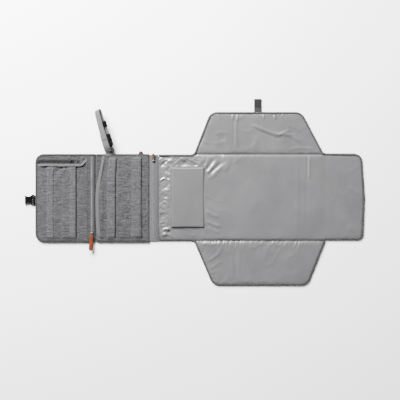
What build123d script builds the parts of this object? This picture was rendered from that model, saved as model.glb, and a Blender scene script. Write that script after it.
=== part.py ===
from build123d import *
import os
from math import cos, radians, sin

# A baby changing clutch, opened flat. Its pocket clutch has a back panel and a flap,
# and a padded mat with two folding wings and a folding foot is zipped to the back panel.
# Millimetres, +Z up. The origin is on the surface it lies on, under the middle of the
# whole object. +X runs from the clutch to the foot of the mat, +Y to the wrist strap.

# Driving dimensions
WEBBING = 25.0            # webbing width, which sizes every buckle
PAD_LENGTH = 1120.0       # closure buckle to the foot of the mat
PAD_WIDTH = 616.0         # wing edge to the end of the fastening tab
BAND = 6.6                # width of the edge binding
GAP = 0.4                 # play between a folding panel and its fold line
CLEAR = 0.5               # running clearance of a slider

# Stations along X
FLAP_LEFT = -526.0
SPINE = -326.0
FLAP_RIGHT = SPINE - 4.5
BACK_LEFT = SPINE + 4.0
BACK_RIGHT = -151.0
HEAD_FOLD = -119.0
WING_START = -4.0
FOOT_FOLD = 428.0
FOOT_RIGHT = PAD_LENGTH / 2

# Stations along Y
CLUTCH_TOP = 126.0
CLUTCH_BOTTOM = -164.5
TOP_FOLD = 124.3
BOTTOM_FOLD = -160.3
TOP_EDGE = 264.5
BOTTOM_EDGE = -PAD_WIDTH / 2
BUCKLE_Y = -25.0

# Layer thicknesses of the mat and of the clutch
MAT_BACK, MAT_CORE, MAT_FACE = 0.6, 3.4, 0.6
CLUTCH_BACK, CLUTCH_CORE, CLUTCH_FACE = 0.8, 5.4, 1.0
FLANGE = 0.6              # binding cloth over the top of a panel
EDGE = 1.2                # binding cloth round the rim of a panel
MAT_TOP = MAT_BACK + MAT_CORE + MAT_FACE
CLUTCH_FACE_TOP = CLUTCH_BACK + CLUTCH_CORE + CLUTCH_FACE
MAT_HEIGHT = MAT_TOP + FLANGE
CLUTCH_HEIGHT = CLUTCH_FACE_TOP + FLANGE

# Pockets
POCKET_ROOM = 5.0         # height left inside a flat pocket
POCKET_SKIN = 0.8
POCKET_ROOF = CLUTCH_FACE_TOP + POCKET_ROOM
POCKET_TOP = POCKET_ROOF + POCKET_SKIN
POCKET_WALL = 1.6
ELASTIC = 9.0
POCKET_LOW = CLUTCH_BOTTOM + BAND + 0.4
POCKET_HIGH = CLUTCH_TOP - BAND - 0.4

# Zippers
TAPE = 0.6                # tape thickness
COIL_WIDTH = 5.2
COIL_HEIGHT = 1.2
SLIDER_WIDTH = 10.0
SLIDER_LENGTH = 12.0
LUG = 1.0                 # thickness of each of the slider's two lugs
PIN_RADIUS = 0.7
EYE_BORE = 1.1
EYE_RADIUS = 1.7
PIN_RISE = 3.0            # pin centre above the top of the coil
LINK_WIDTH = 4.4
LINK_THICK = 1.4
FLAP_ZIP = -339.4
MAT_ZIP = -136.5
OUTER_ZIP = -178.0
OUTER_CHANNEL = 18.0      # width of the channel that hides the outer zipper
OUTER_DEPTH = 5.0
MAT_TAPE_Z = 4.4

os.makedirs("parts", exist_ok=True)


def block(x0, x1, y0, y1, z0, z1, mode=Mode.ADD):
    """Add, or take away, the box between two corners."""
    with Locations(((x0 + x1) / 2, (y0 + y1) / 2, (z0 + z1) / 2)):
        Box(x1 - x0, y1 - y0, z1 - z0, mode=mode)


def save(piece, name):
    piece.part.label = name
    export_step(piece.part, f"parts/{name}.step")


# ---------------------------------------------------------------------------
# Panels: backing, padding and face inside a folded cloth binding

BEYOND = 60.0             # how far an outline runs on past its fold before it is cut


def panel_face(points, radius, inset, keep):
    """A layer's outline: free edges pulled in by inset, cut straight at the fold."""
    with BuildLine() as rim:
        Polyline(*points, close=True)
    make_face(rim.edges())
    fillet(vertices(), radius)
    if inset > 0:
        offset(amount=-inset, mode=Mode.REPLACE)
    x0, x1, y0, y1 = keep
    with Locations(((x0 + x1) / 2, (y0 + y1) / 2)):
        Rectangle(x1 - x0, y1 - y0, mode=Mode.INTERSECT)


def layer(points, radius, inset, keep, z, thick):
    with BuildPart() as sheet:
        with BuildSketch(Plane.XY.offset(z)):
            panel_face(points, radius, inset, keep)
        extrude(amount=thick)
    return sheet


def binding(points, radius, keep, back, height):
    """A strip folded round the free edge, open on the inside."""
    with BuildPart() as strip:
        with BuildSketch(Plane.XY):
            panel_face(points, radius, 0, keep)
        extrude(amount=height)
        with BuildSketch(Plane.XY):
            panel_face(points, radius, BAND, keep)
        extrude(amount=height, mode=Mode.SUBTRACT)
        with BuildSketch(Plane.XY.offset(back)):
            panel_face(points, radius, EDGE, keep)
        extrude(amount=height - FLANGE - back, mode=Mode.SUBTRACT)
    return strip


def straight_binding(x0, x1, rim, inward, back, height):
    """Binding along one straight edge at y = rim; inward is the side of the panel."""
    y_in = rim + inward * BAND
    y_groove = rim + inward * EDGE
    block(x0, x1, min(rim, y_in), max(rim, y_in), 0, height)
    block(x0, x1, min(y_groove, y_in), max(y_groove, y_in), back, height - FLANGE,
          mode=Mode.SUBTRACT)


# Wings ---------------------------------------------------------------------


def wing_outline(fold, edge, base, outer):
    """A wing's four corners, its slanted sides carried on past the fold."""
    grow = BEYOND / abs(edge - fold)
    y_base = fold - BEYOND * (1 if edge > fold else -1)
    left = base[0] - (outer[0] - base[0]) * grow
    right = base[1] + (base[1] - outer[1]) * grow
    return [(left, y_base), (right, y_base), (outer[1], edge), (outer[0], edge)]


WING_RADIUS = 33.0
FAR = 700.0
PATCH = (185.0, 230.0, -300.0, -262.0)    # hook-and-loop landing under the lower wing

top_outline = wing_outline(TOP_FOLD, TOP_EDGE, (WING_START, FOOT_FOLD - 2), (51.0, 352.0))
top_keep = (-FAR, FAR, TOP_FOLD + GAP, FAR)
bottom_outline = wing_outline(BOTTOM_FOLD, BOTTOM_EDGE, (WING_START, 431.0), (59.0, 372.0))
bottom_keep = (-FAR, FAR, -FAR, BOTTOM_FOLD - GAP)

FOOT_RADIUS = 22.0
foot_outline = [(FOOT_FOLD - BEYOND, -158.5), (FOOT_RIGHT, -158.5),
                (FOOT_RIGHT, 128.0), (FOOT_FOLD - BEYOND, 128.0)]
foot_keep = (FOOT_FOLD + GAP, FAR, -FAR, FAR)

panels = [("wing_top", top_outline, WING_RADIUS, top_keep),
          ("wing_bottom", bottom_outline, WING_RADIUS, bottom_keep),
          ("foot", foot_outline, FOOT_RADIUS, foot_keep)]

for panel, outline, radius, keep in panels:
    backing = layer(outline, radius, BAND, keep, 0, MAT_BACK)
    if panel == "wing_bottom":
        with BuildPart() as cut_backing:
            add(backing.part)
            block(*PATCH, 0, MAT_BACK, mode=Mode.SUBTRACT)
        backing = cut_backing
    save(backing, f"{panel}_backing")
    save(layer(outline, radius, EDGE, keep, MAT_BACK, MAT_CORE), f"{panel}_foam")
    save(layer(outline, radius, EDGE, keep, MAT_BACK + MAT_CORE, MAT_FACE), f"{panel}_vinyl")
    save(binding(outline, radius, keep, MAT_BACK, MAT_HEIGHT), f"{panel}_binding")

with BuildPart() as loop_patch:
    block(*PATCH, 0, MAT_BACK)
save(loop_patch, "loop_patch")

# Middle of the mat: bound only at the head, where no wing joins it
MAT_LEFT = HEAD_FOLD + GAP
MAT_RIGHT = FOOT_FOLD - GAP


def mat_layer(inset, z, thick):
    with BuildPart() as sheet:
        block(MAT_LEFT, WING_START, BOTTOM_FOLD + inset, TOP_FOLD - inset, z, z + thick)
        block(WING_START, MAT_RIGHT, BOTTOM_FOLD + GAP, TOP_FOLD - GAP, z, z + thick)
    return sheet


save(mat_layer(BAND, 0, MAT_BACK), "mat_backing")
save(mat_layer(EDGE, MAT_BACK, MAT_CORE), "mat_foam")
save(mat_layer(EDGE, MAT_BACK + MAT_CORE, MAT_FACE), "mat_vinyl")

with BuildPart() as mat_binding:
    straight_binding(MAT_LEFT, WING_START, TOP_FOLD, -1, MAT_BACK, MAT_HEIGHT)
    straight_binding(MAT_LEFT, WING_START, BOTTOM_FOLD, 1, MAT_BACK, MAT_HEIGHT)
save(mat_binding, "mat_binding")

# Head pillow: a cloth cover, sewn down on the vinyl, over its own foam
PILLOW = (-78.7, 31.8, -118.3, 83.0)
PILLOW_RISE = 5.0
PILLOW_CLOTH = 0.6
PILLOW_RADIUS = 10.0
pillow_middle = ((PILLOW[0] + PILLOW[1]) / 2, (PILLOW[2] + PILLOW[3]) / 2)
pillow_size = (PILLOW[1] - PILLOW[0], PILLOW[3] - PILLOW[2])

with BuildPart() as pillow_foam:
    with BuildSketch(Plane.XY.offset(MAT_TOP)):
        with Locations(pillow_middle):
            RectangleRounded(pillow_size[0] - 8, pillow_size[1] - 8, PILLOW_RADIUS - 4)
    extrude(amount=PILLOW_RISE - PILLOW_CLOTH)
    fillet(edges().group_by(Axis.Z)[-1], 3.0)
save(pillow_foam, "pillow_foam")

with BuildPart() as pillow_cover:
    with BuildSketch(Plane.XY.offset(MAT_TOP)):
        with Locations(pillow_middle):
            RectangleRounded(*pillow_size, PILLOW_RADIUS)
    extrude(amount=PILLOW_RISE)
    fillet(edges().group_by(Axis.Z)[-1], 3.6)
    add(pillow_foam.part, mode=Mode.SUBTRACT)
save(pillow_cover, "pillow_cover")

# Hook-and-loop tab on the top wing
TAB = (195.0, 220.0)
TAB_ROOT = TOP_EDGE + 1.0
TAB_END = PAD_WIDTH / 2
TAB_Z = 1.4
TAB_CLOTH = 1.2
HOOK_THICK = 0.8
HOOK_START = TAB_ROOT + 14.0

with BuildPart() as tab_webbing:
    block(*TAB, TAB_ROOT, TAB_END, TAB_Z, TAB_Z + TAB_CLOTH)
save(tab_webbing, "tab_webbing")

with BuildPart() as hook_patch:
    block(TAB[0] + 1, TAB[1] - 1, HOOK_START, TAB_END - 1, TAB_Z + TAB_CLOTH,
          TAB_Z + TAB_CLOTH + HOOK_THICK)
save(hook_patch, "hook_patch")

# ---------------------------------------------------------------------------
# Clutch: back panel and flap

channel = (OUTER_ZIP - OUTER_CHANNEL / 2, OUTER_ZIP + OUTER_CHANNEL / 2, -155.0, CLUTCH_TOP)
NOTCH_HALF = 18.0         # half the width of the hollow that holds the closure's plug
notch = (OUTER_ZIP + OUTER_CHANNEL / 2 + 0.5, BACK_RIGHT,
         BUCKLE_Y - NOTCH_HALF, BUCKLE_Y + NOTCH_HALF)


def back_layer(inset, z, thick):
    """A back panel layer, hollowed underneath for the outer zipper and the plug."""
    with BuildPart() as sheet:
        block(BACK_LEFT, BACK_RIGHT, CLUTCH_BOTTOM + inset, CLUTCH_TOP - inset, z, z + thick)
        block(*channel, 0, OUTER_DEPTH, mode=Mode.SUBTRACT)
        block(*notch, 0, OUTER_DEPTH, mode=Mode.SUBTRACT)
    return sheet


save(back_layer(BAND, 0, CLUTCH_BACK), "back_shell")
save(back_layer(EDGE, CLUTCH_BACK, CLUTCH_CORE), "back_stiffener")
save(back_layer(EDGE, CLUTCH_BACK + CLUTCH_CORE, CLUTCH_FACE), "back_lining")

with BuildPart() as back_binding:
    straight_binding(BACK_LEFT, BACK_RIGHT, CLUTCH_TOP, -1, CLUTCH_BACK, CLUTCH_HEIGHT)
    straight_binding(BACK_LEFT, BACK_RIGHT, CLUTCH_BOTTOM, 1, CLUTCH_BACK, CLUTCH_HEIGHT)
    block(*channel, 0, OUTER_DEPTH, mode=Mode.SUBTRACT)
save(back_binding, "back_binding")

FLAP_RADIUS = 28.0
flap_outline = [(FLAP_LEFT, CLUTCH_BOTTOM), (FLAP_RIGHT + BEYOND, CLUTCH_BOTTOM),
                (FLAP_RIGHT + BEYOND, CLUTCH_TOP), (FLAP_LEFT, CLUTCH_TOP)]
flap_keep = (-FAR, FLAP_RIGHT, -FAR, FAR)
flap_sheet = (flap_outline, FLAP_RADIUS)

save(layer(*flap_sheet, BAND, flap_keep, 0, CLUTCH_BACK), "flap_shell")
save(layer(*flap_sheet, EDGE, flap_keep, CLUTCH_BACK, CLUTCH_CORE), "flap_stiffener")
save(layer(*flap_sheet, EDGE, flap_keep, CLUTCH_BACK + CLUTCH_CORE, CLUTCH_FACE), "flap_lining")
save(binding(*flap_sheet, flap_keep, CLUTCH_BACK, CLUTCH_HEIGHT), "flap_binding")

# Cloth hinge between the two panels
with BuildPart() as spine_strip:
    block(FLAP_RIGHT + GAP, BACK_LEFT, CLUTCH_BOTTOM + EDGE, CLUTCH_TOP - EDGE, 0, CLUTCH_BACK)
save(spine_strip, "spine_strip")

# Slip pocket on the back panel, its elastic mouth facing the spine
MOUTH_ENDS = (-307.0, -314.0)
MOUTH_MIDDLE = -323.5
SLIP_RIGHT = -153.0


def slip_face(shift, inset):
    """Slip pocket outline, its mouth moved by shift and its seams pulled in by inset."""
    high = POCKET_HIGH - inset
    low = POCKET_LOW + inset
    right = SLIP_RIGHT - inset
    with BuildLine() as rim:
        mouth = ThreePointArc((MOUTH_ENDS[0] + shift, high), (MOUTH_MIDDLE + shift, BUCKLE_Y),
                              (MOUTH_ENDS[1] + shift, low))
        Polyline(mouth @ 1, (right, low), (right, high), mouth @ 0)
    make_face(rim.edges())


with BuildPart() as slip_pocket:
    with BuildSketch(Plane.XY.offset(CLUTCH_FACE_TOP)):
        slip_face(0, 0)
    extrude(amount=POCKET_ROOM)
    with BuildSketch(Plane.XY.offset(POCKET_ROOF)):
        slip_face(ELASTIC, 0)
    extrude(amount=POCKET_SKIN)
    with BuildSketch(Plane.XY.offset(CLUTCH_FACE_TOP)):
        slip_face(-POCKET_WALL, POCKET_WALL)
    extrude(amount=POCKET_ROOM, mode=Mode.SUBTRACT)
save(slip_pocket, "slip_pocket")

with BuildPart() as slip_elastic:
    with BuildSketch(Plane.XY.offset(POCKET_ROOF)):
        slip_face(0, 0)
    extrude(amount=POCKET_SKIN)
    with BuildSketch(Plane.XY.offset(POCKET_ROOF)):
        slip_face(ELASTIC, 0)
    extrude(amount=POCKET_SKIN, mode=Mode.SUBTRACT)
save(slip_elastic, "slip_pocket_elastic")

# Flap pocket, its elastic mouth facing +Y
FLAP_POCKET = (-518.0, -355.0)
FLAP_MOUTH = 92.0
FLAP_POCKET_RADIUS = 22.0


def flap_pocket_face(high, inset):
    left, right = FLAP_POCKET[0] + inset, FLAP_POCKET[1] - inset
    low = POCKET_LOW + inset
    with BuildLine() as rim:
        Polyline((left, low), (right, low), (right, high), (left, high), close=True)
    make_face(rim.edges())
    fillet(vertices().group_by(Axis.Y)[0].sort_by(Axis.X)[0], FLAP_POCKET_RADIUS - inset)


with BuildPart() as flap_pocket:
    with BuildSketch(Plane.XY.offset(CLUTCH_FACE_TOP)):
        flap_pocket_face(FLAP_MOUTH, 0)
    extrude(amount=POCKET_ROOM)
    with BuildSketch(Plane.XY.offset(POCKET_ROOF)):
        flap_pocket_face(FLAP_MOUTH - ELASTIC, 0)
    extrude(amount=POCKET_SKIN)
    with BuildSketch(Plane.XY.offset(CLUTCH_FACE_TOP)):
        flap_pocket_face(FLAP_MOUTH + POCKET_WALL, POCKET_WALL)
    extrude(amount=POCKET_ROOM, mode=Mode.SUBTRACT)
save(flap_pocket, "flap_pocket")

with BuildPart() as flap_elastic:
    block(*FLAP_POCKET, FLAP_MOUTH - ELASTIC, FLAP_MOUTH, POCKET_ROOF, POCKET_TOP)
save(flap_elastic, "flap_pocket_elastic")

# ---------------------------------------------------------------------------
# Zippers


def save_zipper(name, x, tape_half, y0, y1, z):
    """Two tapes side by side and the closed coil on top of them."""
    with BuildPart() as tape:
        block(x - tape_half, x + tape_half, y0, y1, z, z + TAPE)
    save(tape, f"{name}_zip_tape")
    with BuildPart() as coil:
        block(x - COIL_WIDTH / 2, x + COIL_WIDTH / 2, y0 + 3, y1 - 1,
              z + TAPE, z + TAPE + COIL_HEIGHT)
        fillet(edges().filter_by(Axis.Y).group_by(Axis.Z)[-1], COIL_HEIGHT * 0.4)
    save(coil, f"{name}_zip_coil")


def save_slider(name, x, y, coil_top):
    """A slider that straddles the coil, with two lugs and a pin for its pull."""
    half = SLIDER_WIDTH / 2
    inside = COIL_WIDTH / 2 + CLEAR
    channel_top = coil_top + GAP
    body_top = channel_top + 0.8
    lug_in = LINK_WIDTH / 2 + GAP
    pin_z = coil_top + PIN_RISE + 0.2
    with BuildPart() as slider:
        block(x - half, x + half, y - SLIDER_LENGTH / 2, y + SLIDER_LENGTH / 2,
              coil_top - COIL_HEIGHT + GAP, body_top)
        fillet(edges().filter_by(Axis.Z), 3.0)
        block(x - inside, x + inside, y - SLIDER_LENGTH, y + SLIDER_LENGTH,
              0, channel_top, mode=Mode.SUBTRACT)
        for side in (-1, 1):
            near = x + side * lug_in
            away = near + side * LUG
            block(min(near, away), max(near, away), y - 1.6, y + 1.6, body_top, pin_z + 0.9)
        with BuildSketch(Plane.YZ.offset(x - lug_in)):
            with Locations((y, pin_z)):
                Circle(PIN_RADIUS)
        extrude(amount=2 * lug_in)
    save(slider, f"{name}_zip_slider")


def save_pull(name, x, y, coil_top, side, start, length, width, thick):
    """Metal link on the slider's pin, and the leather pull sewn over its tongue."""
    pin_z = coil_top + PIN_RISE + 0.2
    tongue = start + 5.0
    y_end = y + side * tongue
    with BuildPart() as link:
        with BuildSketch(Plane.YZ.offset(x - LINK_WIDTH / 2)):
            with Locations((y, pin_z)):
                Circle(EYE_RADIUS)
            with Locations((y + side * tongue / 2, pin_z)):
                Rectangle(tongue, LINK_THICK)
            with Locations((y, pin_z)):
                Circle(EYE_BORE, mode=Mode.SUBTRACT)
        extrude(amount=LINK_WIDTH)
    save(link, f"{name}_pull_link")
    with BuildPart() as leather:
        with BuildSketch(Plane.XY.offset(pin_z - thick / 2)):
            with Locations((x, y + side * (start + length / 2))):
                RectangleRounded(width, length, width * 0.3)
        extrude(amount=thick)
        block(x - LINK_WIDTH / 2, x + LINK_WIDTH / 2, min(y, y_end), max(y, y_end),
              pin_z - LINK_THICK / 2, pin_z + LINK_THICK / 2, mode=Mode.SUBTRACT)
    save(leather, f"{name}_pull_leather")


flap_coil_top = CLUTCH_FACE_TOP + TAPE + COIL_HEIGHT
save_zipper("flap", FLAP_ZIP, 6.5, -150.0, 118.0, CLUTCH_FACE_TOP)
save_slider("flap", FLAP_ZIP, -134.0, flap_coil_top)
save_pull("flap", FLAP_ZIP, -134.0, flap_coil_top, -1, 7.5, 52.0, 16.0, 2.6)

mat_coil_top = MAT_TAPE_Z + TAPE + COIL_HEIGHT
with BuildPart() as mat_zip_tape:
    block(BACK_RIGHT, HEAD_FOLD - GAP - 0.2, CLUTCH_BOTTOM + 8, CLUTCH_TOP - 3,
          MAT_TAPE_Z, MAT_TAPE_Z + TAPE)
save(mat_zip_tape, "mat_zip_tape")
with BuildPart() as mat_zip_coil:
    block(MAT_ZIP - COIL_WIDTH / 2, MAT_ZIP + COIL_WIDTH / 2, CLUTCH_BOTTOM + 12, CLUTCH_TOP - 5,
          MAT_TAPE_Z + TAPE, mat_coil_top)
    fillet(edges().filter_by(Axis.Y).group_by(Axis.Z)[-1], COIL_HEIGHT * 0.4)
save(mat_zip_coil, "mat_zip_coil")
save_slider("mat", MAT_ZIP, 103.0, mat_coil_top)
save_pull("mat", MAT_ZIP, 103.0, mat_coil_top, 1, 7.5, 16.5, 11.0, 2.2)

# Outer zipper, upside down in the channel under the back panel
OUTER_Y = 104.0
OUTER_PIN_Y = OUTER_Y + 8.8
OUTER_PIN_Z = 1.5
OUTER_EYE = 1.2
outer_coil_low = OUTER_DEPTH - TAPE - COIL_HEIGHT

with BuildPart() as outer_zip_tape:
    block(channel[0], channel[1], -152.0, 118.0, OUTER_DEPTH - TAPE, OUTER_DEPTH)
save(outer_zip_tape, "outer_zip_tape")
with BuildPart() as outer_zip_coil:
    block(OUTER_ZIP - COIL_WIDTH / 2, OUTER_ZIP + COIL_WIDTH / 2, -148.0, 116.0,
          outer_coil_low, OUTER_DEPTH - TAPE)
save(outer_zip_coil, "outer_zip_coil")

with BuildPart() as outer_zip_slider:
    block(OUTER_ZIP - 5, OUTER_ZIP + 5, OUTER_Y - 6, OUTER_Y + 6, GAP, OUTER_DEPTH - TAPE - GAP)
    fillet(edges().filter_by(Axis.Z), 2.0)
    block(OUTER_ZIP - 3.1, OUTER_ZIP + 3.1, OUTER_Y - 8, OUTER_Y + 8,
          outer_coil_low - GAP, OUTER_DEPTH, mode=Mode.SUBTRACT)
    for side in (-1, 1):
        near = OUTER_ZIP + side * 2.6
        away = near + side
        block(min(near, away), max(near, away), OUTER_Y + 5, OUTER_PIN_Y + 0.9,
              OUTER_PIN_Z - 0.8, OUTER_PIN_Z + 0.8)
    with BuildSketch(Plane.YZ.offset(OUTER_ZIP - 2.6)):
        with Locations((OUTER_PIN_Y, OUTER_PIN_Z)):
            Circle(0.5)
    extrude(amount=5.2)
save(outer_zip_slider, "outer_zip_slider")

with BuildPart() as outer_pull:
    with BuildSketch(Plane.YZ.offset(OUTER_ZIP - LINK_WIDTH / 2)):
        with Locations((OUTER_PIN_Y, OUTER_PIN_Z)):
            Circle(OUTER_EYE)
        with Locations((OUTER_PIN_Y + 2, OUTER_PIN_Z)):
            Rectangle(4, 1.6)
        with Locations((OUTER_PIN_Y, OUTER_PIN_Z)):
            Circle(0.9, mode=Mode.SUBTRACT)
    extrude(amount=LINK_WIDTH)
    with BuildSketch(Plane.XY.offset(OUTER_PIN_Z - 0.8)):
        with Locations((OUTER_ZIP, OUTER_PIN_Y + 13)):
            RectangleRounded(15.4, 19, 4)
    extrude(amount=1.6)
save(outer_pull, "outer_pull")

# ---------------------------------------------------------------------------
# Closure buckle: socket on the flap's edge, plug under the mat zipper

CLOSURE_X = FLAP_LEFT - 4.8
CLOSURE_Z = 4.3
BUCKLE_HALF = 16.85
WAIST_HALF = 10.6
RAIL_HALF = WEBBING / 2 + 0.7
BUCKLE_END = -PAD_LENGTH / 2
BUCKLE_THICK = 8.0
SOCKET_HALF = 8.7
SOCKET_HEIGHT = 4.8
BAR_RADIUS = 1.7

with BuildPart() as closure_female:
    with BuildSketch(Plane.XY.offset(CLOSURE_Z - BUCKLE_THICK / 2)):
        with BuildLine() as rim:
            for side in (-1, 1):
                ThreePointArc((BUCKLE_END, BUCKLE_Y + side * 15.5),
                              (BUCKLE_END + 13, BUCKLE_Y + side * WAIST_HALF),
                              (CLOSURE_X - 5.4, BUCKLE_Y + side * BUCKLE_HALF))
            for x, half in ((BUCKLE_END, 15.5), (CLOSURE_X - 5.4, BUCKLE_HALF)):
                Line((x, BUCKLE_Y - half), (x, BUCKLE_Y + half))
        make_face(rim.edges())
    extrude(amount=BUCKLE_THICK)
    fillet(edges().group_by(Axis.Z)[-1], 1.2)
    fillet(edges().group_by(Axis.Z)[0], 1.2)
    block(BUCKLE_END - 1, BUCKLE_END + 20, BUCKLE_Y - SOCKET_HALF, BUCKLE_Y + SOCKET_HALF,
          CLOSURE_Z - SOCKET_HEIGHT / 2, CLOSURE_Z + SOCKET_HEIGHT / 2, mode=Mode.SUBTRACT)
    for side in (-1, 1):
        inner = BUCKLE_Y + side * RAIL_HALF
        outer = BUCKLE_Y + side * BUCKLE_HALF
        block(CLOSURE_X - 6.6, CLOSURE_X + 2.3, min(inner, outer), max(inner, outer),
              CLOSURE_Z - 2.2, CLOSURE_Z + 2.2)
    with BuildSketch(Plane.XZ.offset(-BUCKLE_Y - RAIL_HALF)):
        with Locations((CLOSURE_X, CLOSURE_Z)):
            Circle(BAR_RADIUS)
    extrude(amount=2 * RAIL_HALF)
save(closure_female, "closure_buckle_socket")

with BuildPart() as closure_webbing:
    with BuildSketch(Plane.XZ.offset(-BUCKLE_Y - WEBBING / 2)):
        with Locations((CLOSURE_X, CLOSURE_Z)):
            Circle(3.3)
        with Locations(((CLOSURE_X + FLAP_LEFT) / 2 + 1, CLOSURE_Z)):
            Rectangle(FLAP_LEFT - CLOSURE_X - 2, 2.4)
        with Locations((CLOSURE_X, CLOSURE_Z)):
            Circle(2.1, mode=Mode.SUBTRACT)
    extrude(amount=WEBBING)
save(closure_webbing, "closure_webbing")

PLUG_X = -156.0
PLUG_Z = 2.3
PLUG_HALF = 15.5

with BuildPart() as closure_plug:
    for side in (-1, 1):
        inner = BUCKLE_Y + side * 13.2
        outer = BUCKLE_Y + side * PLUG_HALF
        block(PLUG_X - 1.4, PLUG_X + 5, min(inner, outer), max(inner, outer),
              PLUG_Z - 1.2, PLUG_Z + 1.2)
        prong_in = BUCKLE_Y + side * 4.6
        prong_out = BUCKLE_Y + side * 8.2
        block(PLUG_X + 9, PLUG_X + 30, min(prong_in, prong_out), max(prong_in, prong_out),
              PLUG_Z - 1.6, PLUG_Z + 1.6)
    block(PLUG_X + 5, PLUG_X + 9, BUCKLE_Y - PLUG_HALF, BUCKLE_Y + PLUG_HALF,
          PLUG_Z - 1.7, PLUG_Z + 1.7)
    block(PLUG_X + 9, PLUG_X + 28, BUCKLE_Y - 2, BUCKLE_Y + 2, PLUG_Z - 1.4, PLUG_Z + 1.4)
    with BuildSketch(Plane.XZ.offset(-BUCKLE_Y - 13.2)):
        with Locations((PLUG_X, PLUG_Z)):
            Circle(1.0)
    extrude(amount=26.4)
save(closure_plug, "closure_buckle_plug")

with BuildPart() as plug_webbing:
    with BuildSketch(Plane.XZ.offset(-BUCKLE_Y - WEBBING / 2)):
        with Locations((PLUG_X, PLUG_Z)):
            Circle(2.0)
        with Locations((PLUG_X - 6, PLUG_Z)):
            Rectangle(9, 1.2)
        with Locations((PLUG_X, PLUG_Z)):
            Circle(1.4, mode=Mode.SUBTRACT)
    extrude(amount=WEBBING)
    block(PLUG_X - 11, PLUG_X - 5, BUCKLE_Y - WEBBING / 2, BUCKLE_Y + WEBBING / 2,
          PLUG_Z - 0.6, OUTER_DEPTH)
save(plug_webbing, "plug_webbing")

# ---------------------------------------------------------------------------
# Wrist strap: a webbing loop that leans over, sewn to the top edge of the clutch

STRAP_LEAN = 15.5         # degrees, the loop leans towards the flap
STRAP_TILT = 45.0         # degrees, the webbing stands on its edge
STRAP_THICK = 1.8
STRAP_HINGE_Y = CLUTCH_TOP + 1.0
STRAP_NECK = (-296.0, -262.0)
LEG_START, LEG_END = 14.0, 143.0
LEG_WIDE, LEG_NARROW = 9.0, 5.0       # half the gap between the legs, base and far end
BUCKLE_FROM, BUCKLE_TO = 20.0, 60.0   # stretch of the leg that the buckle takes
GLIDE = (86.0, 104.0)

lean_x, lean_y = -sin(radians(STRAP_LEAN)), cos(radians(STRAP_LEAN))
tilt = radians(STRAP_TILT)
strap_plane = Plane(origin=(-288.5, STRAP_HINGE_Y, 12.0), x_dir=(lean_x, lean_y, 0),
                    z_dir=(lean_y * cos(tilt), -lean_x * cos(tilt), sin(tilt)))


def strap_block(u0, u1, v0, v1, w0, w1, mode=Mode.ADD):
    """A box in the strap's frame: u along it, v through the webbing, w across it."""
    centre = strap_plane.from_local_coords(((u0 + u1) / 2, (v0 + v1) / 2, (w0 + w1) / 2))
    frame = Plane(origin=centre, x_dir=strap_plane.x_dir, z_dir=strap_plane.z_dir)
    with Locations(frame):
        Box(u1 - u0, v1 - v0, w1 - w0, mode=mode)


with BuildPart() as strap_anchor:
    block(-293.0, -260.0, CLUTCH_TOP - BAND, CLUTCH_TOP, CLUTCH_HEIGHT, CLUTCH_HEIGHT + 1.6)
save(strap_anchor, "strap_anchor")

with BuildPart() as strap_webbing:
    with BuildSketch(strap_plane):
        with BuildLine() as loop:
            near = Line((LEG_START, LEG_WIDE), (LEG_END, LEG_NARROW))
            crease = ThreePointArc((LEG_END, LEG_NARROW), (LEG_END + LEG_NARROW + 1, 0),
                                   (LEG_END, -LEG_NARROW))
            far = Line((LEG_END, -LEG_NARROW), (LEG_START, -LEG_WIDE))
        trace(loop.edges(), line_width=STRAP_THICK)
    extrude(amount=WEBBING)
    strap_block(BUCKLE_FROM, BUCKLE_TO, -16, -3, -1, WEBBING + 1, mode=Mode.SUBTRACT)
    block(*STRAP_NECK, STRAP_HINGE_Y + GAP, STRAP_HINGE_Y + 14, CLUTCH_HEIGHT, CLUTCH_HEIGHT + 2.6)
    block(STRAP_NECK[0], STRAP_NECK[1] - 4, STRAP_HINGE_Y + 10, STRAP_HINGE_Y + 18,
          CLUTCH_HEIGHT, CLUTCH_HEIGHT + 14)
save(strap_webbing, "strap_webbing")

# Side-release buckle on the far leg
BUCKLE_V = -8.3
SHELL_HALF = 4.0
ROOM_HALF = 2.4
SPLIT_U = 36.0
ARM_U = SPLIT_U + 0.8
ARM_W = (1.6, WEBBING - 1.6)

with BuildPart() as strap_socket:
    strap_block(SPLIT_U, BUCKLE_TO, BUCKLE_V - SHELL_HALF, BUCKLE_V + SHELL_HALF, -3, WEBBING + 3)
    strap_block(SPLIT_U - 1, BUCKLE_TO - 4, BUCKLE_V - ROOM_HALF, BUCKLE_V + ROOM_HALF,
                -0.6, WEBBING + 0.6, mode=Mode.SUBTRACT)
    strap_block(SPLIT_U + 5, BUCKLE_TO - 5, BUCKLE_V - ROOM_HALF, BUCKLE_V + ROOM_HALF,
                -4, WEBBING + 4, mode=Mode.SUBTRACT)
save(strap_socket, "strap_buckle_socket")

with BuildPart() as strap_plug:
    strap_block(BUCKLE_FROM, SPLIT_U, BUCKLE_V - SHELL_HALF, BUCKLE_V + SHELL_HALF,
                -3, WEBBING + 3)
    strap_block(SPLIT_U, BUCKLE_TO - 6, BUCKLE_V - 1.8, BUCKLE_V + 1.8,
                WEBBING / 2 - 2, WEBBING / 2 + 2)
save(strap_plug, "strap_buckle_plug")

for name, root, out in (("strap_arm_low", ARM_W[0], -1), ("strap_arm_high", ARM_W[1], 1)):
    with BuildPart() as arm:
        edge = root + out * 1.6
        inner = root - out * 1.6
        strap_block(ARM_U, ARM_U + 15, BUCKLE_V - 1.8, BUCKLE_V + 1.8,
                    min(edge, inner), max(edge, inner))
        head = root + out * 3.8
        strap_block(ARM_U + 7, ARM_U + 15, BUCKLE_V - 1.8, BUCKLE_V + 1.8,
                    min(edge, head), max(edge, head))
    save(arm, name)

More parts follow.
